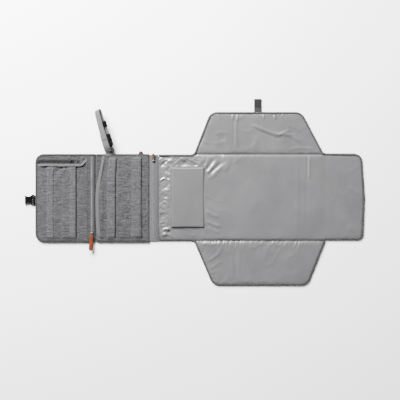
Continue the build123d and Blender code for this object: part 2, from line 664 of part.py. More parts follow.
with BuildPart() as strap_glide:
    strap_block(*GLIDE, -9.6, -3.2, -2.6, WEBBING + 2.6)
    strap_block(GLIDE[0] - 1, GLIDE[1] + 1, -7.9, -4.9, -0.6, WEBBING + 0.6, mode=Mode.SUBTRACT)
save(strap_glide, "strap_glide")
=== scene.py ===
import math

import bpy
import numpy as np
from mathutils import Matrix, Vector


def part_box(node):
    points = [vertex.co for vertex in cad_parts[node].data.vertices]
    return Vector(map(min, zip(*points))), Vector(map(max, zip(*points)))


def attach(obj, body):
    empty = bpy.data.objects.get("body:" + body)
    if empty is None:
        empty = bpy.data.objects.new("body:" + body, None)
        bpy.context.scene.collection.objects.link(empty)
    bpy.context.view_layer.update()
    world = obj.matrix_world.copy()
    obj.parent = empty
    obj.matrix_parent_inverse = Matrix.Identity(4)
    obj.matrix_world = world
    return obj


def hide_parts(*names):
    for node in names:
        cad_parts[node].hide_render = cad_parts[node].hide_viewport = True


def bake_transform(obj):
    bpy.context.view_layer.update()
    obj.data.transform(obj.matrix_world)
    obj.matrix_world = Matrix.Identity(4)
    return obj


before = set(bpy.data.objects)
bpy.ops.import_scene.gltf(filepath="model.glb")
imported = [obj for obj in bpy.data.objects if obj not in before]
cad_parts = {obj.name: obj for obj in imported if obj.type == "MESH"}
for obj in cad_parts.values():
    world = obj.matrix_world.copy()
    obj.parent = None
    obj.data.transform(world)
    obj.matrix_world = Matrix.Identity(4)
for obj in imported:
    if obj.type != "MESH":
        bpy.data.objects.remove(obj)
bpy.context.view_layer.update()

MM = 0.001

# ---------------------------------------------------------------------------
# Places, read from the CAD frame, and the few widths and radii they share


def sides(node):
    """A node's box as x0, x1, y0, y1, z0, z1."""
    low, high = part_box(node)
    return low.x, high.x, low.y, high.y, low.z, high.z


FLAP_X0, FLAP_X1, CLUTCH_Y0, CLUTCH_Y1, _, CLUTCH_Z = sides("flap_binding")
BACK_X0, BACK_X1, _, _, _, LINING_Z = sides("back_lining")
MAT_X0, MAT_X1, _, _, _, VINYL_Z = sides("mat_vinyl")
_, HEAD_X1, MAT_Y0, MAT_Y1, _, MAT_BIND_Z = sides("mat_binding")
PAD_LOW = sides("mat_foam")[4]
PILLOW = sides("pillow_cover")
FOOT = sides("foot_binding")
FLAP_POCKET = sides("flap_pocket")
SLIP_POCKET = sides("slip_pocket")
FOLD_GAP = 0.4 * MM
BAND = 6.6 * MM
EDGE_LOW = 0.05 * MM
HEM_LIFT = 0.75 * MM
WING_RADIUS = 33 * MM
FLAP_RADIUS = 28 * MM
FOOT_RADIUS = 22 * MM

# ---------------------------------------------------------------------------
# Smooth repeatable noise


def lattice(ix, iy, seed):
    """A fixed value from -1 to 1 for each lattice point."""
    h = (ix * 374761393 + iy * 668265263 + seed * 2147483647) & 0xFFFFFFFF
    h = ((h ^ (h >> 13)) * 1274126177) & 0xFFFFFFFF
    return ((h ^ (h >> 16)) & 0xFFFF) / 32767.5 - 1.0


def noise(x, y, seed=0):
    """Value noise with smooth cells of side 1."""
    x0 = np.floor(x).astype(np.int64)
    y0 = np.floor(y).astype(np.int64)
    fx = x - x0
    fy = y - y0
    sx = fx * fx * fx * (fx * (fx * 6 - 15) + 10)
    sy = fy * fy * fy * (fy * (fy * 6 - 15) + 10)
    low = lattice(x0, y0, seed) * (1 - sx) + lattice(x0 + 1, y0, seed) * sx
    high = lattice(x0, y0 + 1, seed) * (1 - sx) + lattice(x0 + 1, y0 + 1, seed) * sx
    return low * (1 - sy) + high * sy


def fractal(x, y, seed=0, octaves=3):
    """Several octaves of noise, each finer and fainter."""
    total = 0.0
    for k in range(octaves):
        total = total + noise(x * 2 ** k + 17 * k, y * 2 ** k - 9 * k, seed + k) / 2 ** k
    return total


def smooth(t):
    """0 to 1, easing in and out."""
    t = np.clip(t, 0, 1)
    return t * t * (3 - 2 * t)


# ---------------------------------------------------------------------------
# Meshes


def add_object(name, verts, faces, material):
    """A mesh object that shades smooth except at its sharp rims."""
    mesh = bpy.data.meshes.new(name)
    mesh.from_pydata([tuple(v) for v in verts], [], faces)
    mesh.validate()
    mesh.polygons.foreach_set("use_smooth", [True] * len(mesh.polygons))
    mesh.materials.append(material)
    mesh.update()
    mesh.set_sharp_from_angle(angle=math.radians(52))
    obj = bpy.data.objects.new(name, mesh)
    bpy.context.scene.collection.objects.link(obj)
    return obj


def sheet_data(X, Y, top, low):
    """Vertices and faces of a closed sheet over a grid: top, underside and rim."""
    ny, nx = X.shape
    count = nx * ny
    verts = np.concatenate([np.stack([X, Y, top], -1).reshape(-1, 3),
                            np.stack([X, Y, low], -1).reshape(-1, 3)])
    faces = []
    for j in range(ny - 1):
        for i in range(nx - 1):
            a = j * nx + i
            faces.append((a, a + 1, a + nx + 1, a + nx))
            faces.append((count + a, count + a + nx, count + a + nx + 1, count + a + 1))
    rim = list(range(nx))
    rim += [j * nx + nx - 1 for j in range(1, ny)]
    rim += [(ny - 1) * nx + i for i in range(nx - 2, -1, -1)]
    rim += [j * nx for j in range(ny - 2, 0, -1)]
    for k, a in enumerate(rim):
        b = rim[(k + 1) % len(rim)]
        faces.append((a, count + a, count + b, b))
    return verts, faces


def closed_sheet(name, X, Y, top, low, material):
    """A closed sheet as an object; low may be one height."""
    low = np.zeros_like(top) + low
    return add_object(name, *sheet_data(X, Y, top, low), material)


def corner_arc(corner, a, b, radius, count):
    """Points on the arc that rounds a corner whose sides leave it along a and b."""
    a, b = unit(a), unit(b)
    half = math.acos(np.clip(a @ b, -1, 1)) / 2
    reach = radius / math.tan(half)
    centre = corner + unit(a + b) * radius / math.sin(half)
    start, end = corner + a * reach - centre, corner + b * reach - centre
    turn = math.pi - 2 * half
    t = np.linspace(0, 1, count)[:, None]
    return centre + (start * np.sin((1 - t) * turn) + end * np.sin(t * turn)) / math.sin(turn)


def rounded_path(points, radius, step=3 * MM):
    """An open path through points with its inner corners rounded, evenly stepped."""
    points = np.array(points, float)
    arcs = [corner_arc(corner, before - corner, after - corner, radius, 13)
            for before, corner, after in zip(points, points[1:], points[2:])]
    return even(np.concatenate([points[:1], *arcs, points[-1:]]), step)


def unit(vectors):
    """The same directions at length 1."""
    return vectors / np.linalg.norm(vectors, axis=-1, keepdims=True)


def even(path, step):
    """The same path with points the same distance apart."""
    gaps = np.linalg.norm(np.diff(path, axis=0), axis=1)
    along = np.concatenate([[0], np.cumsum(gaps)])
    count = max(int(round(along[-1] / step)), 2)
    targets = np.linspace(0, along[-1], count + 1)
    return np.stack([np.interp(targets, along, path[:, k]) for k in range(path.shape[1])], 1)


def inward(path, inside):
    """Unit normals of a flat path that point to the side where inside lies."""
    tangent = unit(np.gradient(path, axis=0))
    normal = np.stack([-tangent[:, 1], tangent[:, 0]], 1)
    middle = len(path) // 2
    if normal[middle] @ (np.array(inside) - path[middle]) < 0:
        normal = -normal
    return normal


def nearest(X, Y, path):
    """Distance of each grid point from a path, and how far along it the foot lies."""
    flat = np.stack([X.ravel(), Y.ravel()], 1)
    best = np.full(len(flat), 1e9)
    along = np.zeros(len(flat))
    gaps = np.linalg.norm(np.diff(path, axis=0), axis=1)
    start = np.concatenate([[0], np.cumsum(gaps)])
    for k, (a, b) in enumerate(zip(path, path[1:])):
        d = b - a
        t = np.clip(((flat - a) @ d) / (d @ d), 0, 1)
        far = np.linalg.norm(flat - (a + t[:, None] * d), axis=1)
        closer = far < best
        best = np.where(closer, far, best)
        along = np.where(closer, start[k] + t * gaps[k], along)
    return best.reshape(X.shape), along.reshape(X.shape)


def rows(y, left, right, nx):
    """Grid rows at each y, spanning from the left outline to the right one."""
    x0 = np.interp(y, left[:, 1], left[:, 0])
    x1 = np.interp(y, right[:, 1], right[:, 0])
    t = np.linspace(0, 1, nx)
    X = x0[:, None] + (x1 - x0)[:, None] * t[None, :]
    Y = np.repeat(y[:, None], nx, 1)
    return X, Y


def row_places(y0, y1, step, fine=0.0):
    """Row heights, closer together over the last stretch before y1, where it is round."""
    n = max(int(round(abs(y1 - y0) / step)), 4)
    t = np.linspace(0, 1, n + 1)
    if fine:
        t = 1 - (1 - t) ** fine
    return y0 + (y1 - y0) * t


def crowded(y0, y1, count):
    """Row heights that crowd together at both ends, where the outline is round."""
    s = np.linspace(0, 1, count)
    return y0 + (y1 - y0) * (s - 0.7 * np.sin(2 * np.pi * s) / (2 * np.pi))


def tube(name, path, radius, material, sides_count=8):
    """A round closed tube along a 3-D path, used for piping and rings."""
    path = np.array(path, float)
    tangent = unit(np.gradient(path, axis=0))
    up = np.tile(np.array([0.0, 0, 1]), (len(path), 1))
    side = np.cross(tangent, up)
    side /= np.linalg.norm(side, axis=1)[:, None] + 1e-12
    up = np.cross(side, tangent)
    verts = []
    for k in range(sides_count):
        angle = 2 * math.pi * k / sides_count
        verts.append(path + radius * (math.cos(angle) * side + math.sin(angle) * up))
    return strip_object(name, np.stack(verts, 1), material)


def strip_object(name, rings, material):
    """A closed solid from a row of rings, capped at both ends. rings is (n, k, 3)."""
    n, k, _ = rings.shape
    faces = []
    for i in range(n - 1):
        for j in range(k):
            a, b = i * k + j, i * k + (j + 1) % k
            faces.append((a, b, b + k, a + k))
    faces.append(tuple(reversed(range(k))))
    faces.append(tuple((n - 1) * k + j for j in range(k)))
    return add_object(name, rings.reshape(-1, 3), faces, material)


def join(name, objects):
    """One object from several."""
    bpy.ops.object.select_all(action="DESELECT")
    for o in objects:
        o.select_set(True)
    bpy.context.view_layer.objects.active = objects[0]
    bpy.ops.object.join()
    objects[0].name = name
    objects[0].data.name = name
    return objects[0]


def orient(obj):
    """Face normals pointing outwards."""
    bpy.ops.object.select_all(action="DESELECT")
    obj.select_set(True)
    bpy.context.view_layer.objects.active = obj
    bpy.ops.object.mode_set(mode="EDIT")
    bpy.ops.mesh.select_all(action="SELECT")
    bpy.ops.mesh.normals_make_consistent(inside=False)
    bpy.ops.object.mode_set(mode="OBJECT")
    return obj

# ---------------------------------------------------------------------------
# Materials


class Finish:
    """A node material on one Principled shader, patterned in object space."""

    def __init__(self, name, color, roughness, **sockets):
        self.material = bpy.data.materials.new(name)
        self.material.use_nodes = True
        self.tree = self.material.node_tree
        self.shader = self.tree.nodes["Principled BSDF"]
        self.shader.inputs["Base Color"].default_value = (*color, 1)
        self.shader.inputs["Roughness"].default_value = roughness
        for socket, value in sockets.items():
            self.shader.inputs[socket.replace("_", " ")].default_value = value
        self.place = self.tree.nodes.new("ShaderNodeTexCoord").outputs["Object"]

    def link(self, out, into):
        self.tree.links.new(out, into)

    def mapped(self, scale, turn=0.0):
        node = self.tree.nodes.new("ShaderNodeMapping")
        node.inputs["Scale"].default_value = scale
        node.inputs["Rotation"].default_value = (0, 0, turn)
        self.link(self.place, node.inputs["Vector"])
        return node.outputs["Vector"]

    def grain(self, scale, detail=3.0, roughness=0.55, turn=0.0):
        """Noise with its own scale, per metre, along each axis."""
        node = self.tree.nodes.new("ShaderNodeTexNoise")
        node.inputs["Scale"].default_value = 1.0
        node.inputs["Detail"].default_value = detail
        node.inputs["Roughness"].default_value = roughness
        self.link(self.mapped(scale, turn), node.inputs["Vector"])
        return node.outputs["Fac"]

    def bands(self, axis, pitch, turn=0.0):
        """Parallel ribs along an axis, one every pitch metres."""
        node = self.tree.nodes.new("ShaderNodeTexWave")
        node.bands_direction = axis
        node.inputs["Scale"].default_value = 0.314159 / pitch
        node.inputs["Distortion"].default_value = 0.6
        node.inputs["Detail"].default_value = 1.0
        self.link(self.mapped((1, 1, 1), turn), node.inputs["Vector"])
        return node.outputs["Fac"]

    def math(self, operation, a, b):
        node = self.tree.nodes.new("ShaderNodeMath")
        node.operation = operation
        for socket, value in zip(node.inputs, (a, b)):
            if isinstance(value, (int, float)):
                socket.default_value = value
            else:
                self.link(value, socket)
        return node.outputs["Value"]

    def tones(self, factor, dark, light, low=0.3, high=0.7):
        ramp = self.tree.nodes.new("ShaderNodeValToRGB")
        ramp.color_ramp.elements[0].position = low
        ramp.color_ramp.elements[0].color = (*dark, 1)
        ramp.color_ramp.elements[1].position = high
        ramp.color_ramp.elements[1].color = (*light, 1)
        self.link(factor, ramp.inputs["Fac"])
        self.link(ramp.outputs["Color"], self.shader.inputs["Base Color"])

    def rough(self, factor, low, high):
        node = self.tree.nodes.new("ShaderNodeMapRange")
        node.inputs["To Min"].default_value = low
        node.inputs["To Max"].default_value = high
        self.link(factor, node.inputs["Value"])
        self.link(node.outputs["Result"], self.shader.inputs["Roughness"])

    def bump(self, height, depth, strength=1.0):
        node = self.tree.nodes.new("ShaderNodeBump")
        node.inputs["Distance"].default_value = depth
        node.inputs["Strength"].default_value = strength
        self.link(height, node.inputs["Height"])
        self.link(node.outputs["Normal"], self.shader.inputs["Normal"])


def grey(level, tint=1.03):
    """A grey that leans slightly to blue."""
    return (level, level, level * tint)


def woven(name, dark, light, pitch, rough=0.95, sheen=0.0, streak=1.0):
    """Cloth with crossing yarns of uneven shade, as heathered polyester has."""
    f = Finish(name, light, rough, Sheen_Weight=sheen, Sheen_Roughness=0.6, Specular_IOR_Level=0.08)
    along = f.grain((38, 480, 480))
    across = f.grain((480, 45, 480))
    mottle = f.grain((120, 260, 200), 2.0)
    mix = f.math("ADD", f.math("MULTIPLY", along, 0.5 * streak),
                 f.math("MULTIPLY", across, 0.7 - 0.5 * streak))
    mix = f.math("ADD", mix, f.math("MULTIPLY", mottle, 0.2))
    f.tones(mix, dark, light, 0.33, 0.6)
    weave = f.math("ADD", f.bands("X", pitch), f.bands("Y", pitch))
    f.bump(f.math("ADD", weave, f.math("MULTIPLY", along, 1.2)), 0.22 * MM, 0.8)
    return f.material


def coated(name, dark, light, rough):
    """Soft wipe-clean coated cloth with a faint grain."""
    f = Finish(name, light, rough, Specular_IOR_Level=0.3, Coat_Weight=0.6,
               Coat_Roughness=0.3)
    cloud = f.grain((9, 9, 9), 2.0)
    f.tones(cloud, dark, light, 0.35, 0.65)
    f.rough(f.grain((60, 60, 60)), rough - 0.06, rough + 0.06)
    f.bump(f.math("ADD", f.grain((1500, 1500, 1500), 2.0), f.grain((300, 300, 300), 2.0)),
           0.05 * MM, 0.5)
    return f.material


def ribbed(name, dark, light, axis, pitch, rough=0.85, turn=0.0):
    """Narrow woven goods: webbing, binding, elastic and tape, ribbed one way."""
    f = Finish(name, light, rough, Specular_IOR_Level=0.12)
    ribs = f.bands(axis, pitch, turn)
    yarn = f.grain((500, 500, 500), 2.0)
    f.tones(f.math("ADD", f.math("MULTIPLY", ribs, 0.35), f.math("MULTIPLY", yarn, 0.65)),
            dark, light, 0.3, 0.75)
    f.bump(f.math("ADD", ribs, f.math("MULTIPLY", yarn, 0.5)), 0.3 * MM, 0.8)
    return f.material


def moulded(name, color, rough, shine=0.18):
    """Moulded plastic with a light texture and slightly uneven gloss."""
    f = Finish(name, color, rough, Specular_IOR_Level=shine)
    f.tones(f.grain((40, 40, 40)), tuple(c * 0.8 for c in color), tuple(c * 1.3 for c in color))
    f.rough(f.grain((200, 200, 200)), rough - 0.08, rough + 0.1)
    f.bump(f.grain((2500, 2500, 2500), 2.0), 0.04 * MM, 0.5)
    return f.material


def hide(name, dark, light, rough=0.5):
    """Grained leather with pores and darker worn patches."""
    f = Finish(name, light, rough, Specular_IOR_Level=0.15)
    cells = f.tree.nodes.new("ShaderNodeTexVoronoi")
    cells.inputs["Scale"].default_value = 900
    f.link(f.place, cells.inputs["Vector"])
    f.tones(f.grain((130, 130, 130)), dark, light, 0.3, 0.65)
    f.rough(f.grain((350, 350, 350)), rough - 0.1, rough + 0.12)
    f.bump(cells.outputs["Distance"], 0.15 * MM, 0.6)
    return f.material


def plated(name, color, rough):
    """Plated metal with a faint uneven gloss."""
    f = Finish(name, color, rough, Metallic=1.0)
    f.rough(f.grain((300, 300, 300)), rough - 0.08, rough + 0.12)
    f.bump(f.grain((900, 900, 900)), 0.02 * MM, 0.4)
    return f.material


def pile(name, dark, light):
    """Hook-and-loop tape: a dense rough pile."""
    f = Finish(name, light, 0.95, Specular_IOR_Level=0.05)
    fuzz = f.grain((1400, 1400, 1400), 2.0)
    f.tones(fuzz, dark, light)
    f.bump(fuzz, 0.5 * MM, 1.0)
    return f.material


HEATHER = woven("heather_cloth", grey(0.0119), grey(0.0511), 0.9 * MM)
HEATHER_BAND = woven("heather_binding", grey(0.0125), grey(0.0387), 0.7 * MM)
PLEAT_CLOTH = woven("pleat_cloth", grey(0.0182), grey(0.0675), 0.9 * MM, streak=0.9)
POCKET_CLOTH = woven("pocket_cloth", grey(0.0142), grey(0.059), 0.9 * MM, streak=0.9)
BACKING = woven("backing_cloth", grey(0.018), grey(0.033), 0.6 * MM)
VINYL = coated("coated_cloth", grey(0.0617), grey(0.0731), 0.33)
# Painted shade: the same coated cloth as the vinyl, but much darker, to stand for the shade deep in the
# wing-fold grooves.
FOLD_PAINTED_SHADE = coated("fold_painted_shade", grey(0.016), grey(0.021), 0.45)
PILLOW_CLOTH = coated("pillow_cloth", grey(0.0516), grey(0.0572), 0.5)
EDGING = ribbed("edge_binding", grey(0.0229), grey(0.0493), "X", 0.9 * MM, turn=0.7)
ELASTIC = ribbed("elastic_edge", grey(0.0396), grey(0.0759), "Y", 1.2 * MM)
WEBBING = ribbed("webbing", grey(0.0465), grey(0.093), "Y", 1.6 * MM, turn=0.27)
TAPE = ribbed("zip_tape", grey(0.0504), grey(0.0814), "Y", 0.8 * MM)
COIL = moulded("zip_coil", grey(0.085), 0.5)
TAPE_DARK = ribbed("flap_zip_tape", grey(0.026), grey(0.045), "Y", 0.8 * MM)
BLACK = moulded("black_plastic", (0.0006, 0.0006, 0.00065), 0.42, 0.07)
BLACK_WEB = ribbed("black_webbing", grey(0.0006), grey(0.0018), "Y", 1.4 * MM)
NICKEL = plated("nickel", (0.16, 0.145, 0.125), 0.36)
TAN = hide("tan_leather", (0.046, 0.0085, 0.0024), (0.092, 0.019, 0.006))
DULL_TAN = hide("worn_tan_leather", (0.03, 0.015, 0.009), (0.06, 0.034, 0.022))
RED = hide("red_leather", (0.012, 0.0022, 0.002), (0.026, 0.0048, 0.004))
TAPE_FOLD = ribbed("zip_tape_fold", grey(0.038), grey(0.064), "Y", 0.8 * MM)
THREAD = ribbed("thread", grey(0.024), grey(0.04), "X", 0.5 * MM)
TAN_THREAD = ribbed("tan_thread", (0.04, 0.013, 0.006), (0.07, 0.03, 0.014), "X", 0.5 * MM)
HOOK = pile("hook_tape", grey(0.0084), grey(0.0168))
TAB_CLOTH = ribbed("tab_cloth", grey(0.015), grey(0.026), "Y", 1.2 * MM)
LOOP = pile("loop_tape", grey(0.024), grey(0.042))

# ---------------------------------------------------------------------------
# Camera, lights and floor


def set_stage():
    """The camera above the mat, a pale floor, a window light and a weak fill."""
    camera = bpy.data.objects.new("camera", bpy.data.cameras.new("camera"))
    camera.data.lens = 85
    camera.location = (17 * MM, -26 * MM, 3.117)
    bpy.context.scene.collection.objects.link(camera)
    bpy.context.scene.camera = camera

    f = Finish("floor_paper", (0.86, 0.86, 0.865), 0.9)
    f.tones(f.grain((3, 3, 3)), (0.85, 0.85, 0.855), (0.87, 0.87, 0.875))
    f.bump(f.grain((500, 500, 500)), 0.05 * MM, 0.2)
    n = 9
    line = np.linspace(-6, 6, n)
    X, Y = np.meshgrid(line, line)
    floor = closed_sheet("floor", X, Y, np.full_like(X, -0.3 * MM), -20 * MM, f.material)

    def lamp(name, place, aim, size, power, color=(1, 1, 1)):
        light = bpy.data.lights.new(name, "AREA")
        light.shape = "RECTANGLE"
        light.size, light.size_y = size
        light.energy = power
        light.color = color
        obj = bpy.data.objects.new(name, light)
        obj.location = place
        obj.rotation_euler = (Vector(aim) - Vector(place)).to_track_quat("-Z", "Y").to_euler()
        bpy.context.scene.collection.objects.link(obj)

    lamp("window", (-1.2, 1.95, 1.6), (0, 0, 0), (1.8, 1.3), 830)
    lamp("fill", (2.2, -0.6, 2.4), (0, 0, 0), (2.5, 2.5), 25)
    world = bpy.data.worlds.new("studio")
    world.use_nodes = True
    world.node_tree.nodes["Background"].inputs["Color"].default_value = (0.97, 0.98, 1, 1)
    world.node_tree.nodes["Background"].inputs["Strength"].default_value = 0.12
    bpy.context.scene.world = world


set_stage()

# ---------------------------------------------------------------------------
# Shared makers for soft goods


def finish_piece(obj, body, nodes=()):
    """Ride a body and stand for CAD nodes, whose meshes are hidden."""
    if body:
        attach(obj, body)
    if nodes:
        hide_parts(*nodes)
    return obj


def thread_line(points, material, name="stitches", pitch=3.7 * MM, length=2.7 * MM,
                thick=0.28 * MM, pull=0.15 * MM):
    """A row of stitches: each a short plump thread that dips into the cloth at its ends."""
    path = even(np.array(points, float), pitch)
    verts, faces = [], []
    for a, b in zip(path, path[1:]):
        middle, run = (a + b) / 2, (b - a) / np.linalg.norm(b - a)
        side = np.cross(run, (0, 0, 1))
        side /= np.linalg.norm(side) + 1e-12
        up = np.cross(side, run)
        base = len(verts)
        for along, size in ((-0.5, 0.35), (-0.3, 0.95), (0.3, 0.95), (0.5, 0.35)):
            lift = -pull if abs(along) == 0.5 else 0
            for k in range(6):
                angle = math.pi * k / 3
                verts.append(middle + run * along * length
                             + (side * math.cos(angle) * 1.25 + up * math.sin(angle)) * thick * size
                             + up * lift)
        for ring in range(3):
            for k in range(6):
                p, q = base + ring * 6 + k, base + ring * 6 + (k + 1) % 6
                faces.append((p, q, q + 6, p + 6))
        faces.append(tuple(base + k for k in reversed(range(6))))
        faces.append(tuple(base + 18 + k for k in range(6)))
    return add_object(name, verts, faces, material)


def bound_edge(name, path, inside, low, high, material, thread, body, nodes, seed=0):
    """Folded binding along a free edge, with its row of stitches."""
    normal = inward(path, inside)
    along = np.concatenate([[0], np.cumsum(np.linalg.norm(np.diff(path, axis=0), axis=1))])
    pucker = noise(along / (9 * MM), along * 0 + seed, seed) * 0.16 * MM
    width = BAND * (1 + 0.05 * noise(along / (23 * MM), along * 0, seed + 5))
    profile = [(1.0, 1, -0.2), (0.8, 1, 0.15), (0.45, 1, 0.35), (0.16, 1, 0.1), (0.03, 0.75, 0),
               (0.0, 0.5, 0), (0.03, 0.2, 0), (0.16, 0, 0), (1.0, 0, 0), (1.0, 0, 0.55),
               (0.26, 0, 0.7), (0.17, 0.5, 0), (0.26, 1, -0.9), (1.0, 1, -0.85)]
    rings = []
    for share, rise, shift in profile:
        flat = path + normal * (width * share)[:, None]
        z = low + (high - low) * rise + shift * MM + (pucker if rise == 1 else 0)
        rings.append(np.column_stack([flat, z + 0 * along]))
    strip = orient(strip_object(name, np.stack(rings, 1), material))
    seam = path + normal * (width * 0.8)[:, None]
    points = np.column_stack([seam, high + 0.28 * MM + pucker])
    strip = join(name, [strip, orient(thread_line(points, thread))])
    return finish_piece(strip, body, nodes)


def ridge(X, Y, points, width, height, fade=0.25):
    """Height of a crease along a polyline in mm, tapered to nothing at both ends."""
    path = even(np.array(points, float) * MM, 3 * MM)
    far, along = nearest(X, Y, path)
    total = np.linalg.norm(np.diff(path, axis=0), axis=1).sum()
    share = along / total
    taper = smooth(share / fade) * smooth((1 - share) / fade)
    return height * MM * taper * np.exp(-(far / (width * MM)) ** 2)


def creases(X, Y, *marks):
    """Several ridges at once; one with a height below 0 is a hollow."""
    return sum(ridge(X, Y, *mark) for mark in marks)


def creased(along, across, period, stretch, seed, sharp=0.75):
    """0 along sharp wandering crests, down to about -1 in the hollows between them."""
    warp = 0.6 * noise(along / (2.3 * period), across / (1.5 * period), seed + 1)
    field = noise(along / period + warp, across / stretch, seed)
    return -np.clip(np.abs(field) * 1.5, 0, 1) ** sharp


def puckers(X, Y, path, reach, depth, period, seed, slant=0.0):
    """Gathers that run square to a seam and die away from it."""
    far, along = nearest(X, Y, path)
    wave = creased(along + slant * far, far, period, reach * 2.0, seed)
    uneven = 0.35 + 0.65 * smooth(0.5 + noise(along / (48 * MM), along * 0, seed + 3))
    return depth * wave * uneven * smooth(far / (2 * MM)) * np.exp(-far / reach)


def fold_cap(X, Y, path):
    """The most a panel may rise near a fold and still close against its neighbour."""
    far, _ = nearest(X, Y, path)
    return VINYL_Z + 0.65 * MM + 0.075 * far


def pad(name, X, Y, bound, folds, rise, wrinkles, body, nodes, material, slot,
        low, face, fill=0.3, seam_drop=3.1 * MM):
    """A quilted panel: full in the middle, held down at bindings, creased at folds."""
    top = np.full_like(X, face) + rise
    for path in bound:
        far, _ = nearest(X, Y, path)
        hold = np.exp(-np.maximum(far - BAND * 0.8, 0) / (7 * MM))
        top -= (rise + 0.5 * MM) * hold
    top += wrinkles
    for path in folds:
        top = np.minimum(top, fold_cap(X, Y, path))
        far, _ = nearest(X, Y, path)
        top = (face - seam_drop) + (top - face + seam_drop) * (1 - np.exp(-(far / (4.0 * MM)) ** 1.3))
    for path in bound:
        far, _ = nearest(X, Y, path)
        under = smooth((far - 0.75 * BAND) / (2.5 * MM))
        top = np.minimum(top, face - 0.15 * MM) * (1 - under) + top * under
    obj = closed_sheet(name, X, Y, top, low, material)
    finish_piece(obj, body, nodes)


def backing(name, X, Y, body, node, low=0.0, high=0.7 * MM):
    """The cloth underneath a panel, slightly puckered by the quilting."""
    under = low + 0.12 * MM * (1 + noise(X / (30 * MM), Y / (30 * MM), 7))
    obj = closed_sheet(name, X, Y, np.full_like(X, high), under, BACKING)
    return finish_piece(obj, body, [node])


def seam_strip(name, x0, x1, y0, y1, across, z, material, ripple=0.15 * MM):
    """Cloth that bridges a fold."""
    n_long, n_short = 120, 9
    if across == "y":
        X, Y = np.meshgrid(np.linspace(x0, x1, n_long), np.linspace(y0, y1, n_short))
        t = (Y - y0) / (y1 - y0)
        along = X
    else:
        X, Y = np.meshgrid(np.linspace(x0, x1, n_short), np.linspace(y0, y1, n_long))
        t = (X - x0) / (x1 - x0)
        along = Y
    top = z + ripple * noise(along / (9 * MM), t * 0, 4)
    obj = closed_sheet(name, X, Y, top, top - 0.5 * MM, material)
    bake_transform(obj)
    return obj


# ---------------------------------------------------------------------------
# The mat

WING_OUT = {"top": (51 * MM, 352 * MM), "bottom": (59 * MM, 372 * MM)}


def make_wing(side):
    """One wing, from its fold to its rounded outer corners."""
    name = f"wing_{side}"
    x0, x1, low_y, high_y, _, _ = sides(f"{name}_binding")
    fold, edge = (low_y, high_y) if side == "top" else (high_y, low_y)
    out0, out1 = WING_OUT[side]
    path = rounded_path([(x0, fold), (out0, edge), (out1, edge), (x1, fold)], WING_RADIUS)
    half = np.argmin(abs(path[:, 0] - (out0 + out1) / 2))
    left, right = path[:half], path[half:][::-1]
    order = 1 if side == "top" else -1
    y = row_places(fold, edge, 2.0 * MM, 1.5)
    X, Y = rows(y * order, left * (1, order), right * (1, order), 190)
    Y = Y * order
    line = np.array([(x0, fold), (x1, fold)])
    inside = ((x0 + x1) / 2, (fold + edge) / 2)
    folds = wing_creases(X, Y, line, path, side)
    sheet = (X, Y) if side == "top" else (X[::-1], Y[::-1])
    extra = folds if side == "top" else folds[::-1]
    pad(f"{name}_pad", *sheet, [path], [line], 0.9 * MM, extra, name,
        [f"{name}_vinyl", f"{name}_foam"], VINYL, "vinyl", PAD_LOW, VINYL_Z)
    backing(f"{name}_back", *sheet, name, f"{name}_backing")
    bound_edge(f"{name}_edge", path, inside, EDGE_LOW, MAT_BIND_Z, EDGING, THREAD, name,
               [f"{name}_binding"], seed=11 if side == "top" else 23)


def wing_creases(X, Y, line, path, side):
    """The soft wrinkles of a wing's coated face."""
    soft = 0.45 * MM * fractal(X / (70 * MM), Y / (55 * MM), 3 if side == "top" else 8)
    soft += 0.65 * MM * creased(X + 0.3 * Y, Y - 0.4 * X, 38 * MM, 52 * MM, 33)
    soft += puckers(X, Y, path, 12 * MM, 2.0 * MM, 13 * MM, 31, 0.2)
    if side == "top":
        soft += puckers(X, Y, line, 16 * MM, 1.2 * MM, 21 * MM, 41, 0.5)
        soft += creases(X, Y, ([(178, 226), (228, 204), (268, 190), (300, 190)], 5.2, 2.3),
                        ([(184, 213), (232, 192), (270, 177), (296, 178)], 5, -0.8),
                        ([(284, 192), (316, 188), (340, 170), (352, 162)], 5.4, 2.4),
                        ([(268, 182), (292, 196), (318, 206)], 4.5, 1.5),
                        ([(300, 138), (340, 146), (402, 141)], 4, 1.1),
                        ([(128, 250), (128, 140)], 3, -0.5),
                        ([(136, 252), (137, 140)], 3.5, 0.6),
                        ([(200, 190), (197, 130)], 9, 0.7),
                        ([(78, 176), (102, 176)], 10, -0.9),
                        ([(60, 190), (90, 198), (118, 190)], 5, 0.7),
                        ([(300, 222), (330, 214), (352, 196)], 5, 0.7),
                        ([(318, 240), (322, 140)], 6, -0.5),
                        ([(124, 256), (126, 236)], 3, 2.0),
                        ([(141, 256), (140, 234)], 2.6, 1.7),
                        ([(226, 256), (229, 240)], 3, 1.7),
                        ([(262, 256), (266, 238)], 3.4, 1.9))
    else:
        soft += 0.5 * MM + puckers(X, Y, line, 13 * MM, 4.2 * MM, 9 * MM, 53, 0.3)
        soft += creases(X, Y, ([(14, -168), (60, -172), (96, -166)], 3.5, 1.5),
                        ([(96, -180), (122, -205), (126, -300)], 5, 0.7),
                        ([(132, -178), (134, -300)], 3, -0.6),
                        ([(146, -176), (146, -298)], 3, 0.6),
                        ([(34, -228), (52, -222), (78, -204), (92, -176)], 4.5, 1.2),
                        ([(44, -252), (62, -246), (90, -224)], 5, 0.9),
                        ([(180, -178), (198, -186), (208, -172)], 4, 1.1),
                        ([(288, -280), (330, -268), (372, -240)], 12, 0.6))
    return soft


